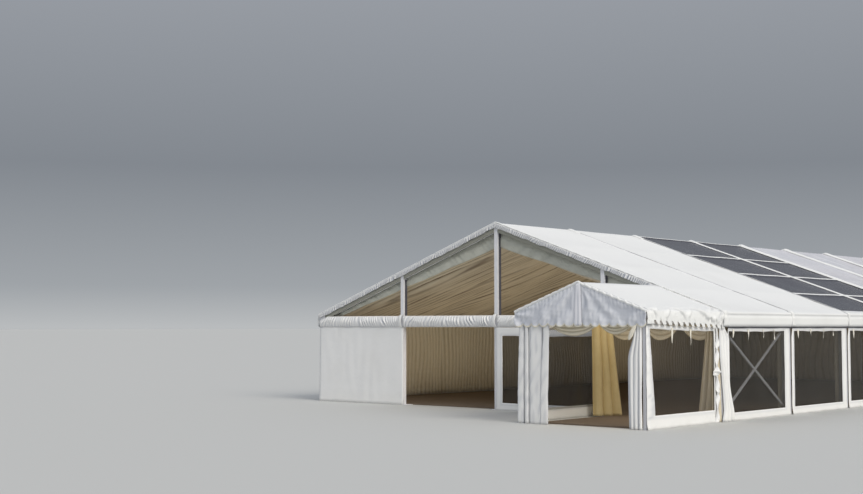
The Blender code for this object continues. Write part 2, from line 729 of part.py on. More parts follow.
def make_porch_walls():
    """Side walls of the porch. The right one stops short of the corner; the left one meets the front wall."""
    ends = {"right": PORCH_REAR - PORCH_CORNER_GAP, "left": FRONT_FACE - WALL_OUT - GAP}
    window_top = PORCH_EAVE - PORCH_WINDOW_TOP_DROP
    for side, sign in (("right", 1), ("left", -1)):
        rear = ends[side]
        near = PORCH_FRONT + PORCH_WINDOW_MARGIN
        wall = rectangle(PORCH_FRONT, 0.0, rear, PORCH_WALL_TOP)
        window = rectangle(near, PORCH_WINDOW_BOTTOM, rear - PORCH_WINDOW_MARGIN, window_top)
        pane = rectangle(PORCH_FRONT, PORCH_WINDOW_BOTTOM - PANE_LAP, rear, window_top + PANE_LAP)
        face = PORCH_CENTRE + sign * PORCH_LEG_OUT
        low, high = sorted((face + sign * WALL_IN, face + sign * WALL_OUT))
        flat(f"porch_{side}_wall", [wall, window], "YZ", low, high, WHITE_PVC)
        low, high = sorted((face + sign * GAP, face + sign * PANE_OUT))
        flat(f"porch_{side}_window", [pane], "YZ", low, high, CLEAR_PVC)


def make_white_curtains():
    """Two white fabric curtains at the mouth of the porch, the right one tied back near its top."""
    left = PORCH_CENTRE - PORCH_LEG_IN
    low = (left, CURTAIN_FRONT, 0.0)
    high = (left + LEFT_CURTAIN_WIDTH, PORCH_FRONT - GAP, CURTAIN_TOP)
    box("porch_curtain_left", low, high, WHITE_PVC)
    right = PORCH_CENTRE + PORCH_LEG_IN
    loop = [
        (right - RIGHT_CURTAIN_WIDTH, 0.0),
        (right, 0.0),
        (right, CURTAIN_TOP),
        (right - RIGHT_CURTAIN_NECK, CURTAIN_TOP),
        (right - RIGHT_CURTAIN_WIDTH, CURTAIN_TOP - RIGHT_CURTAIN_TIE),
    ]
    flat("porch_curtain_right", [loop], "XZ", CURTAIN_FRONT, PORCH_FRONT - GAP, WHITE_PVC)


def swag_loop(start, end, top, joins, drop):
    """A band of cloth between start and end that hangs in an arc between each pair of joins."""
    head = top - SWAG_HEAD
    bottom = [(start, head)] if joins[0] > start else []
    for low, high in zip(joins, joins[1:]):
        for step in range(SWAG_STEPS):
            share = step / SWAG_STEPS
            sag = (drop - SWAG_HEAD) * math.sin(math.pi * share)
            bottom.append((low + (high - low) * share, head - sag))
    bottom.append((joins[-1], head))
    if joins[-1] < end:
        bottom.append((end, head + GAP))
    return bottom + [(end, top), (start, top)]


def make_swags():
    """Ivory swags behind the front bar of the porch, and more behind the beam over the inner doorway."""
    start = PORCH_CENTRE - PORCH_LEG_IN + GAP
    end = PORCH_CENTRE + PORCH_LEG_IN - GAP
    joins = [PORCH_CENTRE + place for place in SWAG_ENDS]
    loop = swag_loop(start, end, PORCH_BAR_TOP, joins, SWAG_DROP)
    low = PORCH_FRONT + PORCH_POST + GAP
    flat("porch_swags", [loop], "XZ", low, low + SWAG_THICKNESS, IVORY_LINING)
    start = upright_places()[-1]
    end = LEG_IN + FRAME_WIDTH / 2
    width = (end - start) / DOOR_SWAGS
    joins = [start + width * number for number in range(DOOR_SWAGS + 1)]
    loop = swag_loop(start, end, BEAM_TOP, joins, DOOR_SWAG_DROP)
    low = FRAME_WIDTH / 2 + GAP
    flat("doorway_swags", [loop], "XZ", low, low + SWAG_THICKNESS, IVORY_LINING)


def make_ivory_curtains():
    """Floor-length curtains at the inner doorway: one drawn across the left corner, one flat at the right."""
    leg = PORCH_LEG_OUT - IVORY_OFF_LEG
    rear = PORCH_REAR - WELD
    slant = math.atan2(IVORY_OUT, IVORY_IN)
    across = IVORY_THICKNESS * math.sin(slant)
    along = IVORY_THICKNESS * math.cos(slant)
    plan = [
        (leg, rear - IVORY_OUT),
        (leg - IVORY_IN, rear),
        (leg - IVORY_IN - across, rear - along),
        (leg - across, rear - IVORY_OUT - along),
    ]
    top = PORCH_BAR_BOTTOM - GAP
    loop = [(PORCH_CENTRE - x, y) for x, y in plan]
    flat("ivory_curtain_left", [loop], "XY", FLOOR + GAP, top, IVORY_LINING)
    right = PORCH_CENTRE + PORCH_LEG_IN
    back = PORCH_REAR - PORCH_POST - IVORY_CLEARANCE
    low = (right - IVORY_WIDTH, back - IVORY_THICKNESS, FLOOR + GAP)
    box("ivory_curtain_right", low, (right, back, top), IVORY_LINING)


def make_corner_drape():
    """White fabric that hangs over the corner where the porch wall meets the main side wall."""
    inner = LEG_OUT + WALL_OUT + GAP
    loop = [
        (DRAPE_LEAN_FRONT - DRAPE_LAP, 0.0),
        (DRAPE_WIDTH - DRAPE_LAP + DRAPE_LEAN_REAR, 0.0),
        (DRAPE_WIDTH - DRAPE_LAP, BAND_BOTTOM - GAP),
        (-DRAPE_LAP, BAND_BOTTOM - GAP),
    ]
    flat("corner_drape", [loop], "YZ", inner, inner + DRAPE_THICKNESS, WHITE_PVC)


make_frames()
make_purlins()
make_eave_rails()
make_braces()
make_roof_sheets()
make_front_trim()
make_linings()
make_side_walls()
make_rear_wall()
make_front_walls()
make_pelmets()
make_floor()
make_porch_frame()
make_porch_roof()
make_porch_valance()
make_porch_walls()
make_white_curtains()
make_swags()
make_ivory_curtains()
make_corner_drape()
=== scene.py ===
import json
import math

import bpy
import numpy as np
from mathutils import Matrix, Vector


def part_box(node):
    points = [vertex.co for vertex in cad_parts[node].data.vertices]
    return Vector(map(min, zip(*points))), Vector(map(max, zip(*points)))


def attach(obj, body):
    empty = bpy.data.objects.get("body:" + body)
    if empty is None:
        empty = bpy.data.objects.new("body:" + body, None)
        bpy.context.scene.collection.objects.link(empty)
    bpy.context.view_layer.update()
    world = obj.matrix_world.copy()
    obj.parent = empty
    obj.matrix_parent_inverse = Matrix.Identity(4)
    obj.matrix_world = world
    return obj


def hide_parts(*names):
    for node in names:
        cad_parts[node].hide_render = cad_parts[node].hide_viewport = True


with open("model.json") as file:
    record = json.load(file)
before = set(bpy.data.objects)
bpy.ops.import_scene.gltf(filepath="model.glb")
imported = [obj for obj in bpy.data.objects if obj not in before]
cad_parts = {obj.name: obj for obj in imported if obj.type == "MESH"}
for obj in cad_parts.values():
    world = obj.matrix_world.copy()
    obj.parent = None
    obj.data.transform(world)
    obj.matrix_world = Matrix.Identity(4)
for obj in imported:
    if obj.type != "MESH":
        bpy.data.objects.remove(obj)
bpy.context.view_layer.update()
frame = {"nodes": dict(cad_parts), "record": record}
print("frame loaded:", len(frame["nodes"]), "nodes")


# Lines of the tent, read from the frame

tent = {
    "bays": 7,
    "gableBays": 4,
    "bandDepth": 0.30,      # fabric that hangs below the eave
    "eaveRound": 0.05,
    "purlins": (1.69, 3.26, 4.83),      # down the slope, from the ridge
    "valance": 0.26,        # fabric that hangs below the porch's eave
}
sides = (("right", 1), ("left", -1))

roofLow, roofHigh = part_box("roof_sheet_1")
legLow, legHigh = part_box("portal_frame_2")
halfSpan = roofHigh.x
ridgeZ = roofHigh.z
bandBottom = roofLow.z
frontFace = roofLow.y
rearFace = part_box("ridge_purlin")[1].y
eaveZ = bandBottom + tent["bandDepth"]
bay = (legLow.y + legHigh.y) / 2
gableBay = 2 * halfSpan / tent["gableBays"]
legOut = legHigh.x
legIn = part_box("front_roof_lining")[1].x
pitch = math.atan2(ridgeZ - eaveZ, halfSpan)
eaveTurn = math.pi / 2 - pitch
slopeEnd = halfSpan / math.cos(pitch) - tent["eaveRound"] * math.tan(eaveTurn / 2)
turnLength = tent["eaveRound"] * eaveTurn
bandStart = slopeEnd + turnLength
bandLength = eaveZ - tent["eaveRound"] * math.tan(eaveTurn / 2) - bandBottom

porchLow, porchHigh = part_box("porch_roof")
porchMiddle = (porchLow.x + porchHigh.x) / 2
porchHalf = (porchHigh.x - porchLow.x) / 2
porchRidge = porchHigh.z
porchPitch = math.atan2(porchRidge - eaveZ, porchHalf)
porchSlope = porchHalf / math.cos(porchPitch)
porchFront = porchLow.y
porchRear = porchHigh.y
valanceLine = eaveZ - tent["valance"]


def sideOf(s):
    return np.where(s < 0, -1.0, 1.0)


def roofLine(s):
    # x, z and outward normal of the roof's outer face, s metres from the ridge, negative to the left
    side = sideOf(s)
    down = np.abs(s)
    radius = tent["eaveRound"]
    straight = np.minimum(down, slopeEnd)
    angle = eaveTurn - np.clip((down - slopeEnd) / turnLength, 0, 1) * eaveTurn
    centreX = slopeEnd * math.cos(pitch) - radius * math.sin(pitch)
    centreZ = ridgeZ - slopeEnd * math.sin(pitch) - radius * math.cos(pitch)
    onTurn = down > slopeEnd
    x = np.where(onTurn, centreX + radius * np.cos(angle), straight * math.cos(pitch))
    z = np.where(onTurn, centreZ + radius * np.sin(angle), ridgeZ - straight * math.sin(pitch))
    return side * x, z - np.clip(down - bandStart, 0, None), side * np.cos(angle), np.sin(angle)


def roofHeight(x):
    return ridgeZ - np.abs(x) * math.tan(pitch)


# Small helpers for shapes

def span(breaks, spacing):
    # values through every break, with steps no longer than the spacing
    values = [breaks[0]]
    for low, high in zip(breaks, breaks[1:]):
        count = max(1, math.ceil((high - low) / spacing - 0.001))
        values += [low + (high - low) * step / count for step in range(1, count + 1)]
    return np.array(values)


def bothHalves(rightHalf):
    # the same values on both sides of the ridge
    return np.array([-value for value in rightHalf[:0:-1]] + rightHalf)


def mix(first, last, share):
    return first + (last - first) * share


def ease(x, low, high):
    share = np.clip((x - low) / (high - low), 0, 1)
    return share * share * (3 - 2 * share)


def hump(x, middle, width):
    # a soft rise round the middle, 1 at its top
    return np.exp(-((x - middle) / width) ** 2)


def arch(share):
    return np.sin(math.pi * np.clip(share, 0, 1))


def toEnd(x, low, high):
    # distance to the nearer end
    return np.minimum(x - low, high - x)


def rounded(distance, length):
    # 0 at an edge and 1 from this length inwards, round like a cushion's
    return np.clip(distance / length, 0, 1) ** 0.5


def softNoise(a, b, size, seed):
    # smooth random waves of about that size, between -1 and 1
    random = np.random.default_rng(seed)
    total = np.zeros_like(a)
    for _ in range(6):
        turn, phase = random.uniform(0, math.tau, 2)
        wave = math.tau / (size * random.uniform(0.7, 1.8))
        total += np.sin((a * math.cos(turn) + b * math.sin(turn)) * wave + phase)
    return total / 3.2


def crease(a, b, size, seed):
    # sharp little ridges where the smooth waves cross zero, between 0 and 1
    return np.clip(1 - 3.5 * np.abs(softNoise(a, b, size, seed)), 0, 1)


def foldLine(a, t, start, end, width):
    # a rounded ridge along a line in the cloth, steeper on one side and fading at both ends,
    # and the painted shade in the hollow beside it
    runA, runT = end[0] - start[0], end[1] - start[1]
    long = math.hypot(runA, runT)
    share = ((a - start[0]) * runA + (t - start[1]) * runT) / long ** 2
    across = ((a - start[0]) * runT - (t - start[1]) * runA) / long
    wide = np.where(across > 0, 0.65, 1.25) * width
    fading = np.clip(1 - (2 * share - 1) ** 2, 0, 1)
    return hump(across, 0, wide) * fading, hump(across, 0.7 * width, 0.42 * width) * fading


def newObject(name, data):
    item = bpy.data.objects.new(name, data)
    bpy.context.scene.collection.objects.link(item)
    return item


def flatSize(points, quads):
    # mean width and length along the cloth, and its area
    width = float(np.linalg.norm(np.diff(points, axis=0), axis=2).sum(axis=0).mean())
    length = float(np.linalg.norm(np.diff(points, axis=1), axis=2).sum(axis=1).mean())
    corners = points.reshape(-1, 3)[quads]
    area = 0.0
    for second, third in ((1, 2), (2, 3)):
        half = np.cross(corners[:, second] - corners[:, 0], corners[:, third] - corners[:, 0])
        area += float(np.linalg.norm(half, axis=1).sum()) / 2
    return round(width, 2), round(length, 2), area


thin = 0.002        # lighter cloth than the main roof's
leastArea = 0.301       # a sheet's area is kept at no less than this share of its width times its length


def clothSheet(
    name, u, v, place, materials, replaced=(), thickness=0.003, cut=None, tone=None
):
    # a grid of cloth: place turns (u, v) into x, y, z and, where it has painted shade, how much
    # each point gets; cut drops faces and tone picks their material;
    # the piece rides on the tent, and its width, length and area are worked out from the cut
    gridU, gridV = np.meshgrid(u, v, indexing="ij")
    x, y, z, *paintedShade = place(gridU, gridV)
    points = np.stack(np.broadcast_arrays(x, y, z), axis=-1)
    index = np.arange(gridU.size).reshape(gridU.shape)
    quads = np.stack([index[:-1, :-1], index[1:, :-1], index[1:, 1:], index[:-1, 1:]], axis=-1)
    quads = quads.reshape(-1, 4)
    middleU = ((gridU[:-1, :-1] + gridU[1:, 1:]) / 2).ravel()
    middleV = ((gridV[:-1, :-1] + gridV[1:, 1:]) / 2).ravel()
    kept = np.ones(len(quads), bool) if cut is None else ~cut(middleU, middleV)
    quads = quads[kept]
    used, renumbered = np.unique(quads, return_inverse=True)
    mesh = bpy.data.meshes.new(name)
    mesh.from_pydata(points.reshape(-1, 3)[used].tolist(), [], renumbered.reshape(-1, 4).tolist())
    for material in materials:
        mesh.materials.append(material)
    if tone is not None:
        mesh.polygons.foreach_set("material_index", tone(middleU, middleV)[kept].astype(np.int32))
    # the painted shade goes into the fold attribute, which darkens the material there
    if paintedShade:
        depth = np.clip(np.broadcast_to(paintedShade[0], gridU.shape), 0, 1).ravel()[used]
        mesh.attributes.new("fold", "FLOAT", "POINT").data.foreach_set("value", depth.astype(np.float32))
    mesh.shade_smooth()
    piece = newObject(name, mesh)
    shell = piece.modifiers.new("thickness", "SOLIDIFY")
    shell.thickness = thickness
    shell.offset = 0.0
    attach(piece, "root")
    if replaced:
        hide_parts(*replaced)
    width, length, area = flatSize(points, quads)
    area = min(max(area, leastArea * width * length), width * length)


def tube(name, runs, radius, material, resolution=3):
    # round hems, and dark strips that paint shadow: one curve with a spline for each run of points
    curve = bpy.data.curves.new(name, "CURVE")
    curve.dimensions = "3D"
    curve.bevel_depth = radius
    curve.bevel_resolution = resolution
    curve.use_fill_caps = True
    for run in runs:
        spline = curve.splines.new("POLY")
        spline.points.add(len(run) - 1)
        for point, place in zip(spline.points, run):
            point.co = (*map(float, place), 1.0)
    curve.materials.append(material)
    piece = newObject(name, curve)
    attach(piece, "root")


# Materials

def toLinear(hexText):
    values = [int(hexText[start:start + 2], 16) / 255 for start in (1, 3, 5)]
    linear = [value / 12.92 if value <= 0.04045 else ((value + 0.055) / 1.055) ** 2.4 for value in values]
    return (*linear, 1.0)


def addNode(tree, kind, settings=None, links=None, feeds=None):
    # links run from sockets into the new node, feeds from the new node into sockets
    node = tree.nodes.new(kind)
    for name, value in (settings or {}).items():
        if isinstance(name, int) or name in node.inputs:
            node.inputs[name].default_value = value
        else:
            setattr(node, name, value)
    for name, socket in (links or {}).items():
        tree.links.new(socket, node.inputs[name])
    for name, socket in (feeds or {}).items():
        tree.links.new(node.outputs[name], socket)
    return node


def newMaterial(name, settings):
    material = bpy.data.materials.new(name)
    material.use_nodes = True
    tree = material.node_tree
    surface = tree.nodes["Principled BSDF"]
    for socket, value in settings.items():
        surface.inputs[socket].default_value = value
    coords = addNode(tree, "ShaderNodeTexCoord")
    return material, tree, surface.inputs, coords.outputs["Object"]


def wavePitch(metres):
    # scale of a banded wave texture whose lines lie this far apart
    return 0.31416 / metres


def shadeInFolds(tree, paintedShade, surface):
    # paints shade into the cloth's folds, as much as the mesh's fold attribute says; gives back the socket
    # that takes its plain colour
    depth = addNode(tree, "ShaderNodeAttribute", {"attribute_name": "fold"})
    shaded = addNode(
        tree, "ShaderNodeMix", {"data_type": "RGBA", 7: toLinear(paintedShade)},
        {0: depth.outputs["Fac"]}, {2: surface["Base Color"]},
    )
    return shaded.inputs[6]


def weave(tree, place, pitch, strength, depth):
    # relief of threads that cross, this far apart
    both = addNode(tree, "ShaderNodeMath", {"operation": "ADD"})
    for number, way in enumerate("YZ"):
        addNode(
            tree, "ShaderNodeTexWave", {"bands_direction": way, "Scale": wavePitch(pitch)},
            {"Vector": place}, {"Fac": both.inputs[number]},
        )
    relief = addNode(
        tree, "ShaderNodeBump", {"Strength": strength, "Distance": depth}, {"Height": both.outputs["Value"]}
    )
    return relief.outputs["Normal"]


def mottled(tree, place, scale, detail, light, dark, target):
    # patches of two colours; gives back the patches, for the gloss
    patches = addNode(tree, "ShaderNodeTexNoise", {"Scale": scale, "Detail": detail}, {"Vector": place})
    addNode(
        tree, "ShaderNodeMix", {"data_type": "RGBA", 6: toLinear(light), 7: toLinear(dark)},
        {0: patches.outputs["Fac"]}, {2: target},
    )
    return patches.outputs["Fac"]


def lined(tree, place, surface, way, pitch, strength, depth, waver=None):
    # relief of parallel lines, this far apart; gives back the lines, for the colour
    lines = addNode(
        tree, "ShaderNodeTexWave", {"bands_direction": way, "Scale": wavePitch(pitch), **(waver or {})},
        {"Vector": place},
    )
    addNode(
        tree, "ShaderNodeBump", {"Strength": strength, "Distance": depth},
        {"Height": lines.outputs["Fac"]}, {"Normal": surface["Normal"]},
    )
    return lines.outputs["Fac"]


def rippled(tree, place, surface, scale, detail, strength, depth, under=None):
    # soft relief all over the surface, on top of the relief under it
    waves = addNode(tree, "ShaderNodeTexNoise", {"Scale": scale, "Detail": detail}, {"Vector": place})
    relief = addNode(
        tree, "ShaderNodeBump", {"Strength": strength, "Distance": depth},
        {"Height": waves.outputs["Fac"]}, {"Normal": surface["Normal"]},
    )
    if under:
        tree.links.new(under, relief.inputs["Normal"])


def coatedCloth(name, values):
    # PVC-coated polyester, calendered: soft white with a low plastic sheen, dusty patches, faint threads,
    # painted shade in folds
    rough = values["roughness"]
    material, tree, surface, place = newMaterial(name, {"IOR": 1.53, "Roughness": rough})
    patches = addNode(
        tree, "ShaderNodeTexNoise", {"Scale": values["patchScale"], "Detail": 5.0}, {"Vector": place}
    )
    height = addNode(tree, "ShaderNodeSeparateXYZ", {}, {"Vector": place})
    dirt = addNode(tree, "ShaderNodeMath", {"operation": "ADD", "use_clamp": True})
    addNode(
        tree, "ShaderNodeMapRange", {"From Max": 0.35, "To Min": values["splash"], "To Max": 0.0},
        {"Value": height.outputs["Z"]}, {"Result": dirt.inputs[0]},
    )
    addNode(
        tree, "ShaderNodeMapRange", {"From Min": 0.45, "From Max": 0.75, "To Max": values["dust"]},
        {"Value": patches.outputs["Fac"]}, {"Result": dirt.inputs[1]},
    )
    addNode(
        tree, "ShaderNodeMix",
        {"data_type": "RGBA", 6: toLinear(values["clean"]), 7: toLinear(values["dusty"])},
        {0: dirt.outputs["Value"]}, {2: shadeInFolds(tree, values["paintedShade"], surface)},
    )
    addNode(
        tree, "ShaderNodeMapRange", {"To Min": rough - 0.06, "To Max": rough + 0.10},
        {"Value": patches.outputs["Fac"]}, {"Result": surface["Roughness"]},
    )
    # threads lie about 1 mm apart; drawn at 14 mm so that they show
    threads = weave(tree, place, 0.014, 0.12, 0.0006)
    rippled(tree, place, surface, 2.6, 3.0, values["rumple"], 0.03, threads)
    return material


# each cloth's paintedShade colour is painted shade, mixed in where its folds lie
roofCloth = {
    "clean": "#F1F2F1", "dusty": "#DCDDDB", "paintedShade": "#A4A7AC", "roughness": 0.42, "patchScale": 0.6,
    "dust": 0.35, "splash": 0.0, "rumple": 0.10,
}
wallCloth = {
    "clean": "#F8F8F7", "dusty": "#E0DED7", "paintedShade": "#A3A9B6", "roughness": 0.46, "patchScale": 1.4,
    "dust": 0.14, "splash": 0.22, "rumple": 0.35,
}
# painted shade: the gable's cloth is the same white PVC, made greyer and bluer for the skylit shade on it;
# the seam strip is a lighter copy
gableCloth = {
    "clean": "#E8EAF0", "dusty": "#CFD2DA", "paintedShade": "#979FAF", "roughness": 0.55, "patchScale": 2.2,
    "dust": 0.35, "splash": 0.0, "rumple": 0.45,
}
stripCloth = {**gableCloth, "clean": "#F6F6FB", "dusty": "#E6E7EE"}


def pearlFilm():
    # translucent PVC, calendered, over a pleated lining: glossy, with the pleats showing through
    # as fine bluish lines
    material, tree, surface, place = newMaterial(
        "translucent_pvc_calendered",
        {"IOR": 1.53, "Roughness": 0.26, "Coat Weight": 0.25, "Coat Roughness": 0.12},
    )
    # lining pleats lie 90 mm apart
    waver = {"Distortion": 1.2, "Detail": 1.0, "Detail Scale": 0.4}
    pleats = lined(tree, place, surface, "Y", 0.09, 0.25, 0.004, waver)
    colour = addNode(
        tree, "ShaderNodeMix", {"data_type": "RGBA", 7: toLinear("#E9E9EC")},
        {0: pleats}, {2: surface["Base Color"]},
    )
    mottled(tree, place, 0.5, 2.0, "#BFC6D3", "#D9D2D8", colour.inputs[6])
    return material


def smokedFilm():
    # smoked clear PVC sheet, press-polished: near black, glossy, with slow ripples and a grey bloom
    material, tree, surface, place = newMaterial(
        "smoked_clear_pvc_polished", {"IOR": 1.53, "Roughness": 0.2, "Specular IOR Level": 0.2, "Alpha": 0.94}
    )
    bloom = mottled(tree, place, 1.1, 4.0, "#24232D", "#3A3944", surface["Base Color"])
    addNode(
        tree, "ShaderNodeMapRange", {"To Min": 0.14, "To Max": 0.34},
        {"Value": bloom}, {"Result": surface["Roughness"]},
    )
    rippled(tree, place, surface, 5.0, 1.0, 0.2, 0.01)
    return material


def clearFilm(name, colour, alpha):
    # clear PVC window sheet, press-polished: see-through, with a faint haze and ripples in its gloss; its
    # dark colour is painted shade
    material, tree, surface, place = newMaterial(
        name, {"Base Color": toLinear(colour), "IOR": 1.53, "Roughness": 0.08, "Alpha": alpha}
    )
    haze = addNode(tree, "ShaderNodeTexNoise", {"Scale": 1.6, "Detail": 3.0}, {"Vector": place})
    addNode(
        tree, "ShaderNodeMapRange", {"To Min": 0.04, "To Max": 0.16},
        {"Value": haze.outputs["Fac"]}, {"Result": surface["Roughness"]},
    )
    rippled(tree, place, surface, 4.0, 2.0, 0.35, 0.012)
    return material


def voile(name, light, shade, paintedShade):
    # polyester voile, woven: matt and soft, a little fuzzy at its edges, with fine cross threads and painted
    # shade in its folds
    material, tree, surface, place = newMaterial(
        name, {"IOR": 1.5, "Roughness": 0.85, "Sheen Weight": 0.25, "Sheen Roughness": 0.5}
    )
    mottled(tree, place, 7.0, 4.0, light, shade, shadeInFolds(tree, paintedShade, surface))
    # threads lie 0.5 mm apart; drawn at 8 mm so that they show
    tree.links.new(weave(tree, place, 0.008, 0.08, 0.0004), surface["Normal"])
    return material


def extrudedAluminium(name, clean, handled, metallic):
    # aluminium, extruded, then satin anodised: pale, with faint die lines and handling marks;
    # the paler non-metal copy of it is painted light
    material, tree, surface, place = newMaterial(name, {"Metallic": metallic, "Roughness": 0.42})
    marks = mottled(tree, place, 9.0, 5.0, clean, handled, surface["Base Color"])
    addNode(
        tree, "ShaderNodeMapRange", {"To Min": 0.34, "To Max": 0.52},
        {"Value": marks}, {"Result": surface["Roughness"]},
    )
    # die lines lie about 2 mm apart; drawn at 12 mm so that they show
    lined(tree, place, surface, "X", 0.012, 0.15, 0.0006, {"Distortion": 0.4})
    return material


def coirMatting():
    # coir, woven on a loom: coarse brown ribs with dry straw-coloured flecks
    material, tree, surface, place = newMaterial("coir_matting_woven", {"Roughness": 0.95})
    worn = addNode(tree, "ShaderNodeTexNoise", {"Scale": 0.7, "Detail": 3.0}, {"Vector": place})
    colour = addNode(
        tree, "ShaderNodeMix", {"data_type": "RGBA", 7: toLinear("#75685A")},
        {0: worn.outputs["Fac"]}, {2: surface["Base Color"]},
    )
    mottled(tree, place, 60.0, 4.0, "#57493D", "#80705C", colour.inputs[6])
    # ribs lie 10 mm apart; drawn at 20 mm so that they show
    lined(tree, place, surface, "Y", 0.02, 0.6, 0.003)
    return material


def extrudedRubber():
    # EPDM rubber, extruded: a dull near black with a grey bloom, slightly pitted; laid in narrow gaps, it
    # paints their shadow
    material, tree, surface, place = newMaterial("epdm_rubber_extruded", {"IOR": 1.52, "Roughness": 0.6})
    mottled(tree, place, 12.0, 4.0, "#3C3C44", "#66666F", surface["Base Color"])
    # pits are under 1 mm wide; drawn at 10 mm so that they show
    rippled(tree, place, surface, 100.0, 2.0, 0.2, 0.001)
    return material


roofPvc = coatedCloth("white_coated_polyester_roof", roofCloth)
wallPvc = coatedCloth("white_coated_polyester_wall", wallCloth)
gablePvc = coatedCloth("white_coated_polyester_gable", gableCloth)
stripPvc = coatedCloth("white_coated_polyester_strip", stripCloth)
pearlPvc = pearlFilm()
smokedPvc = smokedFilm()
# the dark colours of the window films are painted shade, for the shaded inside seen through them
clearPvc = clearFilm("clear_pvc_polished", "#2A2822", 0.34)
porchPvc = clearFilm("clear_pvc_polished_thin", "#3A3631", 0.22)
ivoryVoile = voile("ivory_voile_woven", "#EFE8D6", "#E3D9C0", "#B0A384")
# the left ivory curtain's voile, painted darker and golder: painted shade and warm light
shadedIvoryVoile = voile("gold_voile_woven", "#E0CE9F", "#D2BE8A", "#AF9560")
liningVoile = voile("ivory_lining_woven", "#DED3BC", "#D0C4AA", "#6A5638")
# the fascia's lining: oatmeal grey, partly its own colour and partly painted shade under the roof's edge
fasciaVoile = voile("oatmeal_lining_woven", "#CDCEC3", "#B8B9AD", "#85857A")
creamTape = voile("cream_cotton_tape_woven", "#F7F4EA", "#ECE6D4", "#BFB396")
aluminium = extrudedAluminium("anodised_aluminium_extruded", "#DFE0E5", "#C3C5CC", 0.4)
# painted light: a paler, non-metal copy of the same aluminium, so the front gable frame and wall braces look
# lit
litAluminium = extrudedAluminium("powder_coated_aluminium_extruded", "#F6F6F9", "#E2E3E8", 0.0)
coir = coirMatting()
shadowRubber = extrudedRubber()

nodeSlots = {item["node"]: item["material_slot"] for item in frame["record"]["subparts"]}
litNodes = ("front_gable_frame", "right_wall_brace", "left_wall_brace")
for node in frame["nodes"].values():
    finish = {"aluminium": aluminium, "coir_floor": coir}.get(nodeSlots[node.name])
    if node.name in litNodes:
        finish = litAluminium
    if finish:
        node.data.materials.clear()
        node.data.materials.append(finish)
print("materials made:", len(bpy.data.materials))


# Roof sheets, one for each bay, with their bands and rolled hems

roofSheet = {
    "lift": 0.004,          # over the frame
    "sag": 0.018,           # between rafters and purlins
    "seam": 0.040,          # the rafter's groove shows this wide between two sheets
    "roll": 0.010,          # rise of the sheet's edge beside that groove
    "vergeRise": 0.020,     # rise of the first sheet over its verge
    "lip": 0.012,           # how far the eave's edge stands over the band
    "bandOut": 0.026,
    "hemRadius": 0.045,
    "hemTurn": 1.8,         # radians that the band's foot rolls inwards
    "pull": 0.0025,         # little waves along a sheet's edges
    "fan": 0.010,           # creases that run in from its corners
    "bandWave": 0.006,
    "soft": 0.003,
    "spacing": 0.11,
    "smoked": (3, 4),
    "paneEdge": 0.07,       # white border beside a rafter
    "paneEave": 0.20,       # white border above the eave
    "paneRidge": 0.05,
    "paneStep": 0.004,      # width of the step up to a border or strap
    "slack": 0.003,         # a face this close to a step still counts as past it
    "strap": 0.05,          # half the width of a white strap over a purlin
    "strapLift": 0.006,
    "pearlEdge": 0.10,      # white border of a translucent sheet
    "pearlPleat": 0.18,
    "pearlLift": 0.006,
    "pearlSpacing": 0.045,
}
sheetEnd = bandStart + bandLength - roofSheet["hemRadius"]


def sheetPoint(s, y, lift):
    # a point on a roof sheet, with the rolled hem at the foot of its band
    x, z, normalX, normalZ = roofLine(np.clip(s, -sheetEnd, sheetEnd))
    down = np.abs(s)
    radius = roofSheet["hemRadius"]
    rolled = np.clip(down - sheetEnd, 0, None) / radius
    out = roofSheet["bandOut"] * ease(down, bandStart + 0.01, bandStart + 0.09)
    out = out + roofSheet["lip"] * hump(down, bandStart - 0.02, 0.022)
    x = x + normalX * lift + sideOf(s) * (out - radius * (1 - np.cos(rolled)))
    return x, y, z + normalZ * lift - radius * np.sin(rolled)


def roofLift(s, y, start, end, seed):
    # how far the cloth stands off the roof plane: it sags between rafters and purlins and creases
    # at its corners
    down = np.abs(s)
    onSlope = 1 - ease(down, slopeEnd - 0.1, slopeEnd)
    across = np.clip((y - start) / (end - start), 0, 1)
    stops = (0.0, *tent["purlins"], slopeEnd)
    bowed = np.zeros_like(down)
    for low, high in zip(stops, stops[1:]):
        share = np.clip((down - low) / (high - low), 0, 1)
        bowed = bowed + 4 * share * (1 - share)
    sag = roofSheet["sag"] * 4 * across * (1 - across) * bowed
    edge = toEnd(y, start, end)
    pulled = roofSheet["pull"] * np.exp(-edge / 0.22) * np.sin(down * 34 + 3 * softNoise(s, y, 0.8, seed))
    corner = np.exp(-edge / 0.55) * np.exp(-np.abs(slopeEnd - down) / 0.5)
    fan = roofSheet["fan"] * corner * crease(s, y * 0.5, 0.5, seed + 1)
    roll = roofSheet["roll"] * hump(edge, 0.03, 0.03) * (1 - ease(down, sheetEnd - 0.1, sheetEnd))
    band = 0.004 + roofSheet["bandWave"] * softNoise(s * 0.4, y, 0.7, seed + 2)
    band = band * ease(down, slopeEnd, slopeEnd + 0.12)
    soft = roofSheet["soft"] * softNoise(s, y, 1.6, seed + 3)
    return roofSheet["lift"] + onSlope * (pulled + fan + soft - sag) + band + roll


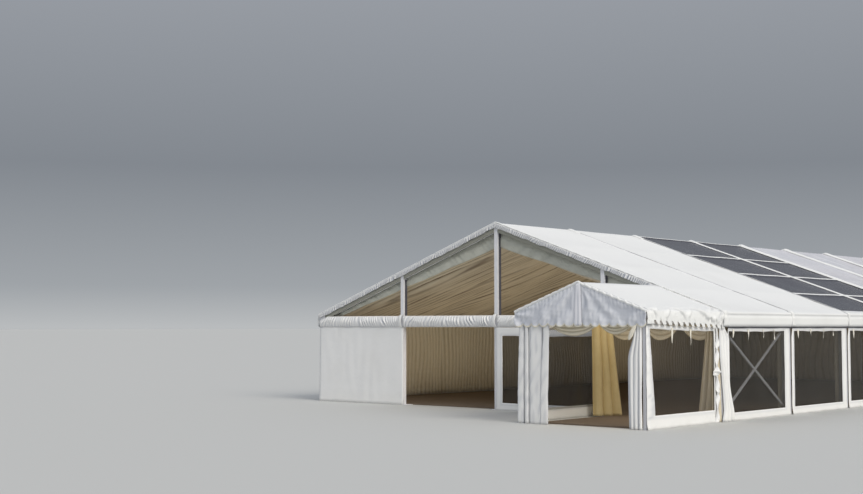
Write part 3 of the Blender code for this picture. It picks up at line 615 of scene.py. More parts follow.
def roofBreaks():
    step, half = roofSheet["paneStep"], roofSheet["strap"]
    paneEnd = slopeEnd - roofSheet["paneEave"]
    stops = [0.0, roofSheet["paneRidge"] - step, roofSheet["paneRidge"]]
    for middle in tent["purlins"]:
        stops += [middle - half, middle - half + step, middle + half - step, middle + half]
    stops += [paneEnd, paneEnd + step, slopeEnd - 0.04, slopeEnd]
    hemLength = roofSheet["hemTurn"] * roofSheet["hemRadius"]
    rightHalf = list(span(stops, roofSheet["spacing"] * 2))
    rightHalf += list(slopeEnd + turnLength * np.arange(1, 7) / 6)
    rightHalf += list(span([bandStart, bandStart + 0.10], 0.014))[1:]
    rightHalf += list(span([bandStart + 0.10, sheetEnd], 0.035))[1:]
    rightHalf += list(sheetEnd + hemLength * np.arange(1, 6) / 5)
    return bothHalves(rightHalf)


def isStrap(s, y, start, end):
    # True on the white borders and purlin straps of a smoked sheet
    down = np.abs(s)
    edge = toEnd(y, start, end)
    toPurlin = np.min([np.abs(down - middle) for middle in tent["purlins"]], axis=0)
    slack = roofSheet["slack"]
    onPane = (toPurlin > roofSheet["strap"] - slack) & (down > roofSheet["paneRidge"] - slack)
    onPane &= (down < slopeEnd - roofSheet["paneEave"] + slack) & (edge > roofSheet["paneEdge"] - slack)
    return ~onPane


def makeRoofSheets():
    s = roofBreaks()
    half = roofSheet["seam"] / 2
    for number in range(1, tent["bays"] + 1):
        name = f"roof_sheet_{number}"
        first, last = number == 1, number == tent["bays"]
        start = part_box(name)[0].y if first else (number - 1) * bay + half
        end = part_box(name)[1].y if last else number * bay - half
        smoked = number in roofSheet["smoked"]
        pearl = number > max(roofSheet["smoked"])
        edge = roofSheet["pearlEdge"] if pearl else roofSheet["paneEdge"]
        stops = [0.0, 0.015, 0.03, 0.05, edge - roofSheet["paneStep"], edge]
        stops = [start + stop for stop in stops] + [end - stop for stop in stops[::-1]]
        y = span(stops, roofSheet["pearlSpacing"] if pearl else roofSheet["spacing"])
        seed = 10 * number

        def place(s, y):
            down = np.abs(s)
            lift = roofLift(s, y, start, end, seed)
            if first:
                onSlope = 1 - ease(down, slopeEnd - 0.10, slopeEnd)
                lift = lift + roofSheet["vergeRise"] * hump(y, start, 0.07) * onSlope
            if smoked:
                lift = lift + roofSheet["strapLift"] * isStrap(s, y, start, end)
            if pearl:
                inside = ease(toEnd(y, start, end), edge, edge + 0.10)
                inside = inside * (1 - ease(down, slopeEnd - 0.5, slopeEnd - 0.2))
                turn = y / roofSheet["pearlPleat"] + 0.5 * softNoise(s * 0.2, y, 0.9, seed + 5)
                pleat = np.sin(math.tau * turn) + 0.5 * np.sin(math.tau * 2.4 * turn)
                lift = lift + roofSheet["pearlLift"] * pleat * inside
            # painted shade below the eave's lip, on the rolled hem and beside the seams
            shade = 0.42 * hump(down, bandStart + 0.012, 0.020)
            shade = shade + 0.40 * ease(down, sheetEnd - 0.035, sheetEnd + 0.02)
            fromSeam = np.minimum(bay if first else y - start, bay if last else end - y)
            shade = shade + 0.6 * hump(fromSeam, 0, 0.03) * (1 - ease(down, slopeEnd - 0.05, slopeEnd))
            return *sheetPoint(s, y, lift), shade

        def tone(s, y):
            if smoked:
                return isStrap(s, y, start, end)
            inside = toEnd(y, start, end) > edge - roofSheet["slack"]
            return ~(pearl & inside & (np.abs(s) < slopeEnd - 0.02))

        film = smokedPvc if smoked else pearlPvc if pearl else roofPvc
        clothSheet(
            f"roofSheet_{number}", s, y, place, [film, roofPvc],
            [name], tone=tone,
        )


# strips over the rafters: half of the width, and the height
coverStrip = {
    "plain": (0.075, 0.018),
    "overPearl": (0.18, 0.030),
    "saddle": (0.12, 0.004),
    "saddleReach": 0.30,
    "capRise": 0.016,       # extra height over the ridge
    "capReach": 0.20,
    "lift": 0.014,
    "saddles": 2,           # the seams up to this one have only a saddle over the ridge
}


def makeCoverStrips():
    for number in range(1, tent["bays"]):
        saddleOnly = number <= coverStrip["saddles"]
        pearl = number >= max(roofSheet["smoked"])
        half, dome = coverStrip["saddle" if saddleOnly else "overPearl" if pearl else "plain"]
        reach = coverStrip["saddleReach"] if saddleOnly else slopeEnd - 0.01

        def place(s, a):
            x, z, normalX, normalZ = roofLine(s)
            rise = coverStrip["capRise"] * hump(s, 0, coverStrip["capReach"])
            body = (1 - a ** 4) * (dome + rise) * rounded(reach - np.abs(s), 0.06)
            soft = 0.006 * softNoise(s, a * half, 0.5, 200 + number) * (1 - a ** 2) * pearl
            lift = coverStrip["lift"] + body + soft
            return x + normalX * lift, number * bay + a * half, z + normalZ * lift

        clothSheet(
            f"coverStrip_{number}", span([-reach, 0.0, reach], 0.08), np.linspace(-1, 1, 13), place,
            [roofPvc],
        )


eaveCap = {
    "half": 0.095,
    "dome": 0.036,
    "above": 0.05,          # from its head down to the end of the slope
    "endIn": 0.07,          # from the tent's ends to the middle of the end caps
    "porchHalf": 0.13,
    "porchShift": -0.085,
    "tuck": 0.080,          # the end caps close the ends of the band
}


def makeEaveCaps():
    # rounded covers where the bands of two bays meet over a leg, and at both ends of the tent
    seams = [number * bay for number in range(1, tent["bays"])]
    places = [frontFace + eaveCap["endIn"], *seams, rearFace - eaveCap["endIn"]]
    top = slopeEnd - eaveCap["above"]
    bottom = sheetEnd + roofSheet["hemRadius"]
    s = np.concatenate([span([top, bandStart], 0.02), span([bandStart, bottom], 0.015)[1:]])
    for sideName, side in sides:
        for number, y0 in enumerate(places, 1):
            atPorch = side > 0 and number == 1      # this one also covers the end of the porch's roof
            half = eaveCap["porchHalf"] if atPorch else eaveCap["half"]
            middle = y0 + eaveCap["porchShift"] * atPorch
            outer = (number == len(places)) - (number == 1 and not atPorch)

            def place(s, a):
                share = (s - top) / (bottom - top)
                ends = rounded(toEnd(share, 0, 1), 0.12)
                lift = 0.010 + eaveCap["dome"] * (1 - np.abs(a) ** 3) * ends
                lift = lift + 0.006 * softNoise(s, a * 0.1, 0.15, 260 + number) * ends
                lift = lift - eaveCap["tuck"] * ease(a * outer, 0.66, 1.0)
                width = half * (1 - 0.25 * np.sin(math.pi * share))
                # painted shade along the cap's edges and towards its foot
                shade = 0.55 * np.abs(a) ** 4 + 0.35 * ease(share, 0.86, 1.0)
                return *sheetPoint(side * s, middle + a * width, lift), shade

            clothSheet(
                f"{sideName}EaveCap_{number}", s, np.linspace(-1, 1, 9), place, [roofPvc],
            )


eaveShadowLine = {"radius": 0.019, "out": 0.030, "below": 0.012, "start": 0.16}


def makeEaveShadowLines():
    # a dark rubber strip along the head of each side wall, just under the rolled foot of the bands: painted
    # shadow in the gap there
    for sideName, side in sides:
        line = []
        for y in span([eaveShadowLine["start"], rearFace - eaveShadowLine["start"]], 0.3):
            wave = 0.003 * math.sin(y * 5.1 + side) + 0.002 * math.sin(y * 13)
            line.append((side * (legOut + eaveShadowLine["out"]), y, bandBottom - eaveShadowLine["below"] + wave))
        tube(f"{sideName}EaveSeal", [line], eaveShadowLine["radius"], shadowRubber)


makeRoofSheets()
makeCoverStrips()
makeEaveCaps()
makeEaveShadowLines()
print("roof made")


# Front gable: ruffled verge trim, fascia and pelmets

vergeTrim = {
    "depth": 0.108, "gather": 0.060, "ruffle": 0.026, "y": -0.066, "past": 0.02,
    "hemRadius": 0.017, "hemOut": 0.014, "hemUp": 0.022,
}


def makeVergeTrim():
    reach = slopeEnd + vergeTrim["past"]

    def place(s, d):
        x, z, normalX, normalZ = roofLine(s)
        normalX = normalX * ease(np.abs(s), 0.0, 0.03)
        depth = vergeTrim["depth"] * (1 + 0.10 * softNoise(s, s * 0, 0.35, 31)) * d - 0.006
        turn = s / vergeTrim["gather"] + 0.5 * d + 0.8 * softNoise(s, d * 0.1, 0.4, 32)
        strength = 0.55 + 0.45 * softNoise(s, d * 0.05, 0.3, 33)
        ruffle = np.sin(math.tau * turn) * strength + 0.4 * np.sin(math.tau * 2.3 * turn + 3 * d)
        y = vergeTrim["y"] - vergeTrim["ruffle"] * (0.8 + 0.8 * ruffle * np.sqrt(d + 0.03))
        # painted shade in the ruffles' hollows, none at the top edge
        return x - normalX * depth, y, z - normalZ * depth, (0.35 - 0.75 * ruffle) * ease(d, 0.0, 0.3)

    clothSheet(
        "frontVergeTrim", span([-reach, 0.0, reach], 0.0105), np.linspace(0, 1, 7), place, [wallPvc],
        ["front_verge_trim"], thickness=thin,
    )
    line = []
    for s in span([-reach, 0.0, reach], 0.05):
        x, z, normalX, normalZ = roofLine(s)
        wave = 0.005 * math.sin(s * 21) + 0.004 * math.sin(s * 47)
        line.append((x, frontFace - vergeTrim["hemOut"] + wave, z + vergeTrim["hemUp"] + 0.4 * wave))
    tube("frontVergeHem", [line], vergeTrim["hemRadius"], roofPvc)


fascia = {
    "y": 0.076, "sag": 0.018, "swagPitch": 1.45, "folds": 0.022, "hem": 0.42, "below": 0.022,
    "coverFrom": 0.085, "coverTo": 0.192,       # down from the roof's outer face
    "uprightHalf": 0.055,
}


def makeFascia():
    low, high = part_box("front_lining_fascia")
    edge = high.x
    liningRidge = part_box("front_roof_lining")[1].z

    def place(x, d):
        top = high.z - np.abs(x) * math.tan(pitch)
        gap = top + fascia["below"] - mix(liningRidge, low.z, np.abs(x) / edge)
        swags = np.abs(np.sin(math.pi * x / fascia["swagPitch"])) * ease(gap, 0.0, 0.25)
        z = top - d * (gap + fascia["sag"] * swags)
        slant = (x * -0.9 * sideOf(x) + z) * 2.2
        fold = fascia["folds"] * softNoise(slant, x * 0.3, 0.42, 41)
        fold = fold * np.sin(math.pi * np.clip(d, 0, 0.8))
        hem = 0.016 * ease(d, fascia["hem"], fascia["hem"] + 0.08)
        # painted shade: heavy in the upper part, under the trim, and thin dark lines along the creases
        shade = 0.45 * (1 - ease(d, 0.25, fascia["hem"] + 0.10))
        shade = shade + 0.28 * crease(slant, x * 0.2, 0.42, 42) ** 3
        return x, fascia["y"] + fold - hem, z, shade

    x = span([-edge, 0.0, edge], 0.05)
    clothSheet(
        "liningFascia", x, np.linspace(0, 1, 16), place, [fasciaVoile],
        ["front_lining_fascia"], thickness=thin,
    )

    def placeCover(x, d):
        # the lining's edge, turned up over the face of the rafters between the uprights, painted in shade all
        # over, under the verge trim
        down = mix(fascia["coverFrom"], fascia["coverTo"], d)
        out = 0.004 + 0.004 * np.abs(softNoise(x, d * 0.1, 0.3, 45)) + 0.004 * (1 - d)
        return x, frontFace - out, roofHeight(x) - down / math.cos(pitch), 0.75 + 0 * x

    for number in range(1, tent["gableBays"] + 1):
        start = (number - 1) * gableBay - halfSpan + fascia["uprightHalf"]
        end = number * gableBay - halfSpan - fascia["uprightHalf"]
        clothSheet(
            f"rafterCover_{number}", span([max(start, -edge), min(end, edge)], 0.05), np.linspace(0, 1, 5),
            placeCover, [fasciaVoile], thickness=thin,
        )


pelmet = {"bulge": 0.060, "gather": 0.088, "fold": 0.028, "below": 0.15}


def makePelmet(name, number, gathers):
    # a rolled and gathered band: its cloth bulges forward between two drawn edges
    low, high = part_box(name)
    x = span([low.x, high.x], 0.0115)

    def place(x, d):
        top = np.minimum(high.z, roofHeight(x) - pelmet["below"])
        body = np.sin(math.pi * d) ** 0.55
        # the gathers lean one way at the left end and the other way at the right end
        share = (x - low.x) / (high.x - low.x)
        slant = 1.5 * np.cos(math.pi * share) + 0.35 * softNoise(x, d * 0.05, 0.9, 50 + number)
        turn = x / pelmet["gather"] + slant * d
        turn = turn + 0.7 * softNoise(x, d * 0.1, 0.45, 55 + number)
        fold = np.sin(math.tau * turn) + 0.3 * np.sin(math.tau * (1.9 * turn + 0.3))
        strong = 0.55 + 0.55 * softNoise(x * 0.8, d * 0.25, 0.3, 58 + number)
        fold = fold * np.clip(strong, 0.08, 1.2)
        ends = rounded(toEnd(x, low.x, high.x), 0.05)
        depth = 0.006 + pelmet["bulge"] * body * (0.35 + 0.65 * ends)
        depth = depth + gathers * pelmet["fold"] * fold * body
        wide = 0.006 * softNoise(x, d * 0.5, 0.8, 60 + number)
        z = top - d * (top - low.z) - 0.012 * np.sin(math.pi * d * 2) + wide * body
        # painted shade in the gathers' hollows and towards its foot
        shade = gathers * np.clip(0.16 - 0.50 * fold, 0, 0.8) * body + 0.25 * ease(d, 0.72, 1.0)
        return x, frontFace - np.maximum(depth, 0.004), z, shade

    clothSheet(
        f"frontPelmet_{number}", x, np.linspace(0, 1, 19), place, [wallPvc],
        [name], thickness=thin,
    )


sleeve = {"half": 0.044, "out": 0.102, "above": 0.03, "below": 0.012}


def makeUprightSleeves():
    # a white strap in front of the pelmets at the middle upright and at the one to its left
    low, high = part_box("front_pelmet_centre")
    top, bottom = high.z + sleeve["above"], low.z - sleeve["below"]
    for number, x0 in enumerate((0.0, -gableBay), 1):

        def place(a, d):
            out = 0.004 + sleeve["out"] * arch(d) ** 0.4 + 0.006 * (1 - a ** 2)
            return x0 + a * sleeve["half"], frontFace - out, mix(top, bottom, d)

        clothSheet(
            f"uprightSleeve_{number}", np.linspace(-1, 1, 7), np.linspace(0, 1, 24), place, [roofPvc],
        )


uprightShadowLine = {
    "half": 0.050, "radius": 0.0115, "places": (0.006, 0.027, 0.048, 0.069), "above": 0.20, "below": 0.05,
}


def makeUprightShadowLines():
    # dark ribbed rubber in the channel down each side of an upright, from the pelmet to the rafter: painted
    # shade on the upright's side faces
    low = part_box("front_pelmet_centre")[1].z - uprightShadowLine["below"]
    for number in range(1, tent["gableBays"]):
        x0 = number * gableBay - halfSpan
        heights = span([low, float(roofHeight(x0)) - uprightShadowLine["above"]], 0.25)
        runs = []
        for sideName, side in sides:
            for y in uprightShadowLine["places"]:
                runs.append([(x0 + side * uprightShadowLine["half"], y, z) for z in heights])
        tube(f"uprightSeal_{number}", runs, uprightShadowLine["radius"], shadowRubber, resolution=2)


makeVergeTrim()
makeFascia()
makeUprightShadowLines()
makePelmet("front_pelmet_left", 1, 1.0)
makePelmet("front_pelmet_centre", 2, 1.0)
makePelmet("front_pelmet_right", 3, 0.45)
makeUprightSleeves()
print("front gable made")


# Pleated linings under the roof

lining = {"pleat": 0.21, "depth": 0.060, "sag": 0.05, "aboveEdge": 0.01, "spacing": 0.021, "coarse": 0.042}


def makeLining(name, node, panels, spacing):
    low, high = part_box(node)
    eave = low.z + lining["aboveEdge"]
    edge = -low.x
    start = low.y
    panel = (high.y - start) / panels

    def place(x, y):
        share = np.abs(x) / edge
        loose = 0.05 + 0.95 * ease(y - start, 0.0, 0.40)
        turn = y / lining["pleat"] + 0.9 * softNoise(x * 0.15, y, 0.9, 70)
        pleat = np.abs(np.sin(math.pi * turn)) ** 0.6
        second = 2.7 * turn + softNoise(x * 0.5, y, 0.7, 71)
        pleat = pleat + 0.4 * np.abs(np.sin(math.pi * second)) ** 0.7
        toSeam = np.abs((y - start + panel / 2) % panel - panel / 2)
        held = 0.35 + 0.65 * ease(toSeam, 0.0, 0.14)
        deep = lining["depth"] * (0.75 + 0.4 * softNoise(x * 0.3, y, 1.3, 72)) * held
        ends = ease(1 - share, 0.0, 0.05) * (0.35 + 0.65 * ease(share, 0.0, 0.06))
        sag = lining["sag"] * np.sin(math.pi * share)
        # painted shade: each pleat is darkest just behind the one before it, and some falls in soft patches
        part = turn % 1.0
        strong = 0.75 + 0.45 * softNoise(x * 0.15, y, 0.33, 73)
        shade = strong * hump(np.minimum(part, 2.5 * (1 - part)), 0, 0.18)
        shade = shade + 0.15 * np.clip(softNoise(x * 0.1, y, 0.12, 74), 0, 1)
        return x, y, mix(high.z, eave, share) - (sag + deep * pleat * ends) * loose, shade

    stops = [low.x, low.x + 0.3, 0.0] + ([high.x - 0.3, high.x] if high.x > 0.3 else [])
    clothSheet(
        name, span(stops, 0.24), span([start, high.y], spacing), place, [liningVoile],
        [node], thickness=thin,
    )


makeLining("frontLining", "front_roof_lining", 2, lining["spacing"])
makeLining("middleLining", "middle_left_lining", 2, lining["coarse"])
makeLining("rearLining", "rear_roof_lining", 3, lining["coarse"])
print("linings made")


# Walls with clear windows

wallPanel = {
    "slitBefore": 0.02,     # the gap between two panels, measured from the middle of a leg
    "slitAfter": 0.07,
    "peel": 0.045,          # how far a panel's upper corner hangs back from its leg
    "clear": 0.0046,        # between the frame and the wall
    "out": 0.0065,
    "paneLap": 0.05,        # of the clear sheet behind the edge of its window
    "weld": 0.035,          # raised strip welded round a window
    "weldLift": 0.0025,
    "sag": 0.016,           # of a panel's top edge
    "ripple": 0.0045,
    "flare": 0.018,         # of the skirt at the ground
    "crinkle": 0.012,       # of a rough panel's first edge
    "filmLap": 0.04,
    "filmIn": 0.012,
    "filmRipple": 0.0045,
    "filmThickness": 0.001,
    "spacing": 0.065,
    "filmSpacing": 0.10,
}
tieTape = {
    "width": 0.046, "length": 0.19, "places": (0.07, 0.33, 0.60, 0.80), "above": 0.03, "out": 0.026,
    "thickness": 0.0015,
}


def windowHeights(node):
    low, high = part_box(node)
    return low.z + wallPanel["paneLap"], high.z - wallPanel["paneLap"]


def facing(plane, outward, acrossX):
    # makes the function that turns (along, height, out) into x, y, z, for a wall across x or across y

    def face(a, z, out):
        level = plane + outward * out
        return (level, a, z) if acrossX else (a, level, z)

    return face


def slanted(a, z, edge, window, lean):
    # leans the window's first edge, so that it lies further in at the foot than at the head
    if not lean:
        return a
    start, end, low, high = window
    down = 1 - np.clip((z - low) / (high - low), 0, 1)
    before = np.clip((a - edge) / (start - edge), 0, 1)
    after = np.clip(1 - (a - start) / (0.6 * (end - start)), 0, 1)
    return a + lean * down * np.minimum(before, after)


def hungWall(
    name, face, limits, window, seed, replaced=(), panes=(), lean=0.0, fall=0.0, peel=0.0,
    rough=0.0, film=clearPvc,
):
    # a white panel with its window cut out, and the clear film behind;
    # face turns (along, height, out) into x, y, z
    start, end, top = limits
    first, last, low, high = window
    weld = wallPanel["weld"]
    along = span([start, first - weld, first, last, last + weld, end], wallPanel["spacing"])
    height = span([0.0, low - weld, low, high, high + weld, top], wallPanel["spacing"])

    def sagging(a, z):
        share = np.clip((a - start) / (end - start), 0, 1)
        drop = wallPanel["sag"] * np.sin(math.pi * share) * (1 + 0.35 * np.sin(math.tau * 4 * share))
        return z + (fall * (0.5 - share) - drop) * ease(z, high - 0.25, high)

    def place(a, z):
        outside = -np.minimum(toEnd(a, first, last), toEnd(z, low, high))       # of the window
        raised = wallPanel["weldLift"] * (outside < weld + 0.001)
        ripple = wallPanel["ripple"] * softNoise(a, z * 0.45, 0.55, seed)
        foot = wallPanel["flare"] * np.clip(1 - z / 0.22, 0, 1) ** 2
        foot = foot * (1 + 0.6 * softNoise(a, z, 0.4, seed + 1))
        gather = 0.004 * ease(z, high, top) * np.sin(a * 41 + 2 * softNoise(a, z, 0.5, seed + 2))
        border = rough * np.exp(-np.abs(a - start - 0.05) / 0.06)
        crinkle = wallPanel["crinkle"] * border * softNoise(a * 0.5, z, 0.14, seed + 6)
        out = wallPanel["out"] + np.abs(ripple) + raised + foot + np.abs(gather) + np.abs(crinkle)
        near = np.clip(1 - np.abs(a - start) / (first - start), 0, 1)
        peeled = wallPanel["peel"] * peel * near * ease(z, high - 0.16, high + 0.02)
        # painted shadow in a thin line just outside the raised weld, and painted shade in the crinkles of a
        # rough edge
        shade = 0.25 * hump(outside, weld + 0.004, 0.012)
        shade = shade + 0.5 * border * crease(a * 0.5, z, 0.22, seed + 7)
        along = slanted(a, z, start, window, lean) + peeled
        return *face(along, np.maximum(sagging(a, z), 0.001), out), shade

    def inWindow(a, z):
        return (toEnd(a, first, last) > 0) & (toEnd(z, low, high) > 0)

    clothSheet(name, along, height, place, [wallPvc], replaced, cut=inWindow)
    lap = wallPanel["filmLap"]

    def placeFilm(a, z):
        wave = wallPanel["filmRipple"] * softNoise(a * 0.6, z, 0.5, seed + 3)
        tight = 0.002 * np.sin(z * 30 + 3 * softNoise(a, z, 0.7, seed + 4)) * np.exp(-(a - first) / 0.4)
        return face(slanted(a, z, start, window, lean), sagging(a, z), wave + tight - wallPanel["filmIn"])

    clothSheet(
        name + "Film", span([first - lap, last + lap], wallPanel["filmSpacing"]),
        span([low - lap, high + lap], wallPanel["filmSpacing"]), placeFilm, [film],
        panes, thickness=wallPanel["filmThickness"],
    )


def hangTies(wall, runs, face, seed):
    # short cream ties that hang inside the head of a window: one narrow strip each
    for number, (a0, z0, length) in enumerate(runs, 1):

        def place(a, d):
            swing = 0.02 * softNoise(d, d * 0 + number, 0.9, seed + number) * d
            wide = tieTape["width"] * (1 - 0.2 * d)
            out = tieTape["out"] + 0.008 * a * np.sin(3 * d + number)
            return face(a0 + a * wide / 2 + swing, z0 - length * d, out)

        clothSheet(
            f"{wall}Tie_{number}", np.linspace(-1, 1, 3), np.linspace(0, 1, 9), place, [creamTape],
            thickness=tieTape["thickness"],
        )


sideWindow = {"near": 0.20, "far": 0.28, "behindDrape": 0.13}


def makeSideWalls():
    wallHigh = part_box("right_side_wall")[1]
    low, high = windowHeights("right_side_windows")
    for sideName, side in sides:
        face = facing(side * (legOut + wallPanel["clear"]), side, True)
        for number in range(1, tent["bays"] + 1):
            first = number == 1
            start = (number - 1) * bay + wallPanel["slitAfter"]
            if first:
                start = sideWindow["behindDrape"] if side > 0 else frontFace
            end = number * bay - wallPanel["slitBefore"] if number < tent["bays"] else wallHigh.y
            window = ((number - 1) * bay + sideWindow["near"], number * bay - sideWindow["far"], low, high)
            name = f"{sideName}Wall_{number}"
            hungWall(
                name, face, (start, end, wallHigh.z), window, 100 * number + 7 * side,
                [f"{sideName}_side_wall"] if first else (),
                [f"{sideName}_side_windows"] if first else (), peel=0.0 if first and side < 0 else 1.0,
            )
            ties = []
            for count, share in enumerate(tieTape["places"]):
                length = tieTape["length"] * (0.8 + 0.13 * ((2 * count + number) % 4))
                ties.append((window[0] + (window[1] - window[0]) * share, high + tieTape["above"], length))
            hangTies(name, ties, face, 300 + number)


def makeFrontWalls():
    face = facing(frontFace - wallPanel["clear"], -1, False)
    low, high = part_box("front_wall_right")
    paneLow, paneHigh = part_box("front_window")
    lap = wallPanel["paneLap"]
    window = (paneLow.x + lap, paneHigh.x - lap, *windowHeights("front_window"))
    hungWall(
        "frontWallRight", face, (low.x, high.x, high.z), window, 901,
        ["front_wall_right"], ["front_window"],
    )
    left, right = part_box("front_wall_left")

    def placePlain(a, z):
        ripple = 0.008 * np.abs(softNoise(a, z * 0.2, 0.45, 911))
        foot = wallPanel["flare"] * np.clip(1 - z / 0.25, 0, 1) ** 2
        return face(a, np.maximum(z, 0.001), 0.002 + ripple + foot)

    clothSheet(
        "frontWallLeft", span([left.x, right.x], wallPanel["spacing"]), span([0.0, right.z], 0.08),
        placePlain, [wallPvc], ["front_wall_left"],
    )


rearWall = {
    "below": 0.12, "gap": 0.03, "cornerIn": 0.01, "windowIn": 0.26, "gableLap": 0.20, "gableOut": 0.016,
}


def makeRearWalls():
    low, high = windowHeights("rear_windows")
    face = facing(rearFace + wallPanel["clear"], 1, False)
    for number in range(1, tent["gableBays"] + 1):
        first, last = number == 1, number == tent["gableBays"]
        start = (number - 1) * gableBay - halfSpan + rearWall["cornerIn" if first else "gap"]
        end = number * gableBay - halfSpan - rearWall["cornerIn" if last else "gap"]
        window = (start + rearWall["windowIn"], end - rearWall["windowIn"], low, high)
        hungWall(
            f"rearWall_{number}", face, (start, end, eaveZ - rearWall["below"]), window, 950 + 10 * number,
            ["rear_wall"] if first else (), ["rear_windows"] if first else (),
        )

    def placeGable(x, share):
        bottom = eaveZ - rearWall["gableLap"]
        z = bottom + share * (roofHeight(x) - 0.004 - bottom)
        seams = 0.003 * np.abs(np.sin(math.pi * x / 1.5)) ** 0.2
        return face(x, z, rearWall["gableOut"] + seams + 0.006 * np.abs(softNoise(x, z, 0.9, 990)))

    x = span([-halfSpan + 0.006, 0.0, halfSpan - 0.006], 0.09)
    clothSheet(
        "rearGable", x, np.linspace(0, 1, 24), placeGable, [wallPvc]
    )


makeSideWalls()
makeFrontWalls()
makeRearWalls()
print("walls made")


# Entrance porch: roof, valances and walls

porch = {
    "scallop": 0.062,
    "scallopPitch": 0.208,
    "bind": 0.032,          # cream binding along the scalloped edge
    "fold": 0.034,
    "stitch": 0.009,        # little wrinkles below the verge's hem
    "stitchPitch": 0.085,
    "hemRadius": 0.027,
    "gableOut": 0.024,      # how far the gable's cloth stands in front of its box
    "seamStrip": 0.165,
    "seamOut": 0.044,
    "seamShift": 0.02,
    "sideTongues": 14,
    "sideTongue": 0.080,
    "sideGap": 0.034,       # half the width of the gap between two of them
    "lean": 0.055,          # how far their tips stand back
    "sideDrop": 0.165,      # from the eave to the notches between the side's tongues, at the front
    "sideFall": 0.11,       # how much lower they hang at the rear
    "skew": 0.040,          # how far the whole hem is drawn back
    "sag": 0.022,
    "crumple": 0.040,
    "step": 0.012,          # how far the cloth dips below the main roof's verge
}

# folds at the eave: start and end, metres from the front edge and up from the eave, and width
porchFolds = (
    ((0.16, 0.12), (0.34, -0.10), 0.040), ((0.62, -0.16), (0.92, 0.14), 0.050),
    ((1.00, 0.22), (1.48, -0.17), 0.055), ((1.56, 0.22), (2.36, -0.11), 0.065),
    ((1.46, -0.15), (1.70, 0.10), 0.040), ((3.00, 0.04), (2.58, -0.19), 0.055),
    ((2.14, -0.06), (2.72, -0.17), 0.050), ((0.40, 0.02), (0.58, 0.26), 0.050),
    ((2.40, 0.06), (2.80, 0.20), 0.050),
)


def porchLine(s):
    # x, z and normal of the porch roof, s metres from its ridge
    x = porchMiddle + s * math.cos(porchPitch)
    z = porchRidge - np.abs(s) * math.sin(porchPitch)
    return x, z, sideOf(s) * math.sin(porchPitch), math.cos(porchPitch)


def makePorchRoof():
    # one cloth from hem to hem: over the ridge, round both eaves and down to the tongues
    length = porchRear - porchFront

    def place(s, y):
        side = sideOf(s)
        a = y - porchFront
        share = np.clip(a / length, 0, 1)
        down = np.abs(s)
        t = down - porchSlope
        hang = np.clip(t / tent["valance"], 0, 1)
        turn = share * porch["sideTongues"]
        fromGap = np.abs(turn - np.round(turn)) * length / porch["sideTongues"]
        tongue = ease(fromGap, porch["sideGap"] - 0.009, porch["sideGap"] + 0.007)
        tongue = np.maximum(tongue, 1 - ease(a, 0.06, 0.08))
        notch = eaveZ - porch["sideDrop"] - porch["sideFall"] * share
        x, z, normalX, normalZ = porchLine(side * np.minimum(down, porchSlope))
        z = np.where(t > 0, mix(eaveZ, notch - porch["sideTongue"] * tongue, hang), z)
        bend = ease(t, -0.07, 0.05)
        normalX = mix(normalX, side, bend)
        normalZ = (1 - bend) * normalZ
        sag = porch["sag"] * 4 * share * (1 - share) * arch(down / porchSlope)
        lines = [foldLine(a + 0.1 * (side < 0), -t, *ends, wide) for *ends, wide in porchFolds]
        folds = porch["crumple"] * np.minimum(sum(ridge for ridge, hollowShade in lines), 1.3)
        folds = folds * (1 - 0.8 * ease(hang, 0.4, 0.8))
        small = 0.010 * crease(s * 1.4, y, 0.45, 410) * ease(down, 0.55 * porchSlope, 0.95 * porchSlope)
        pinch = 0.012 * np.sin(a * 62) * hump(a, 0.12, 0.10) * ease(t, -0.25, -0.05)
        wave = 0.006 * np.sin(math.tau * turn) * ease(hang, 0.6, 1.0)
        soft = 0.010 * hump(t, 0, 0.05)
        step = porch["step"] * ease(share, 0.93, 0.985) * (t < 0)
        lift = 0.008 - sag + folds + small - soft - step + 0.004 * (t > 0) + (wave + pinch) * (t > -0.2)
        tip = np.clip((notch - z) / porch["sideTongue"], 0, 1)
        skew = (porch["skew"] * ease(hang, 0.4, 1.0) + porch["lean"] * tip) * (1 - ease(share, 0.9, 0.98))
        skew = skew * ease(share, 0.0, 0.06)
        # painted shade in the hollow beside each fold, and a painted shade line a little behind the front
        # edge, on the slopes
        shade = 0.50 * sum(hollowShade for ridge, hollowShade in lines) * (1 - 0.6 * ease(hang, 0.5, 0.9))
        shade = shade + 0.75 * hump(a, 0.11, 0.026) * (1 - ease(t, -0.12, 0.0))
        return x + normalX * lift * ease(down, 0.0, 0.06), y + skew, z + normalZ * lift, shade

    eaveSide = porchSlope - 0.45        # finer from here to the hem
    rightHalf = list(span([0.0, eaveSide], 0.10)) + list(span([eaveSide, porchSlope], 0.030))[1:]
    rightHalf += list(span([porchSlope, porchSlope + tent["valance"]], 0.022))[1:]
    y = span([porchFront - 0.006, porchRear - 0.004], 0.0135)
    clothSheet(
        "porchRoof", bothHalves(rightHalf), y, place, [roofPvc],
        ["porch_roof"], thickness=thin,
    )


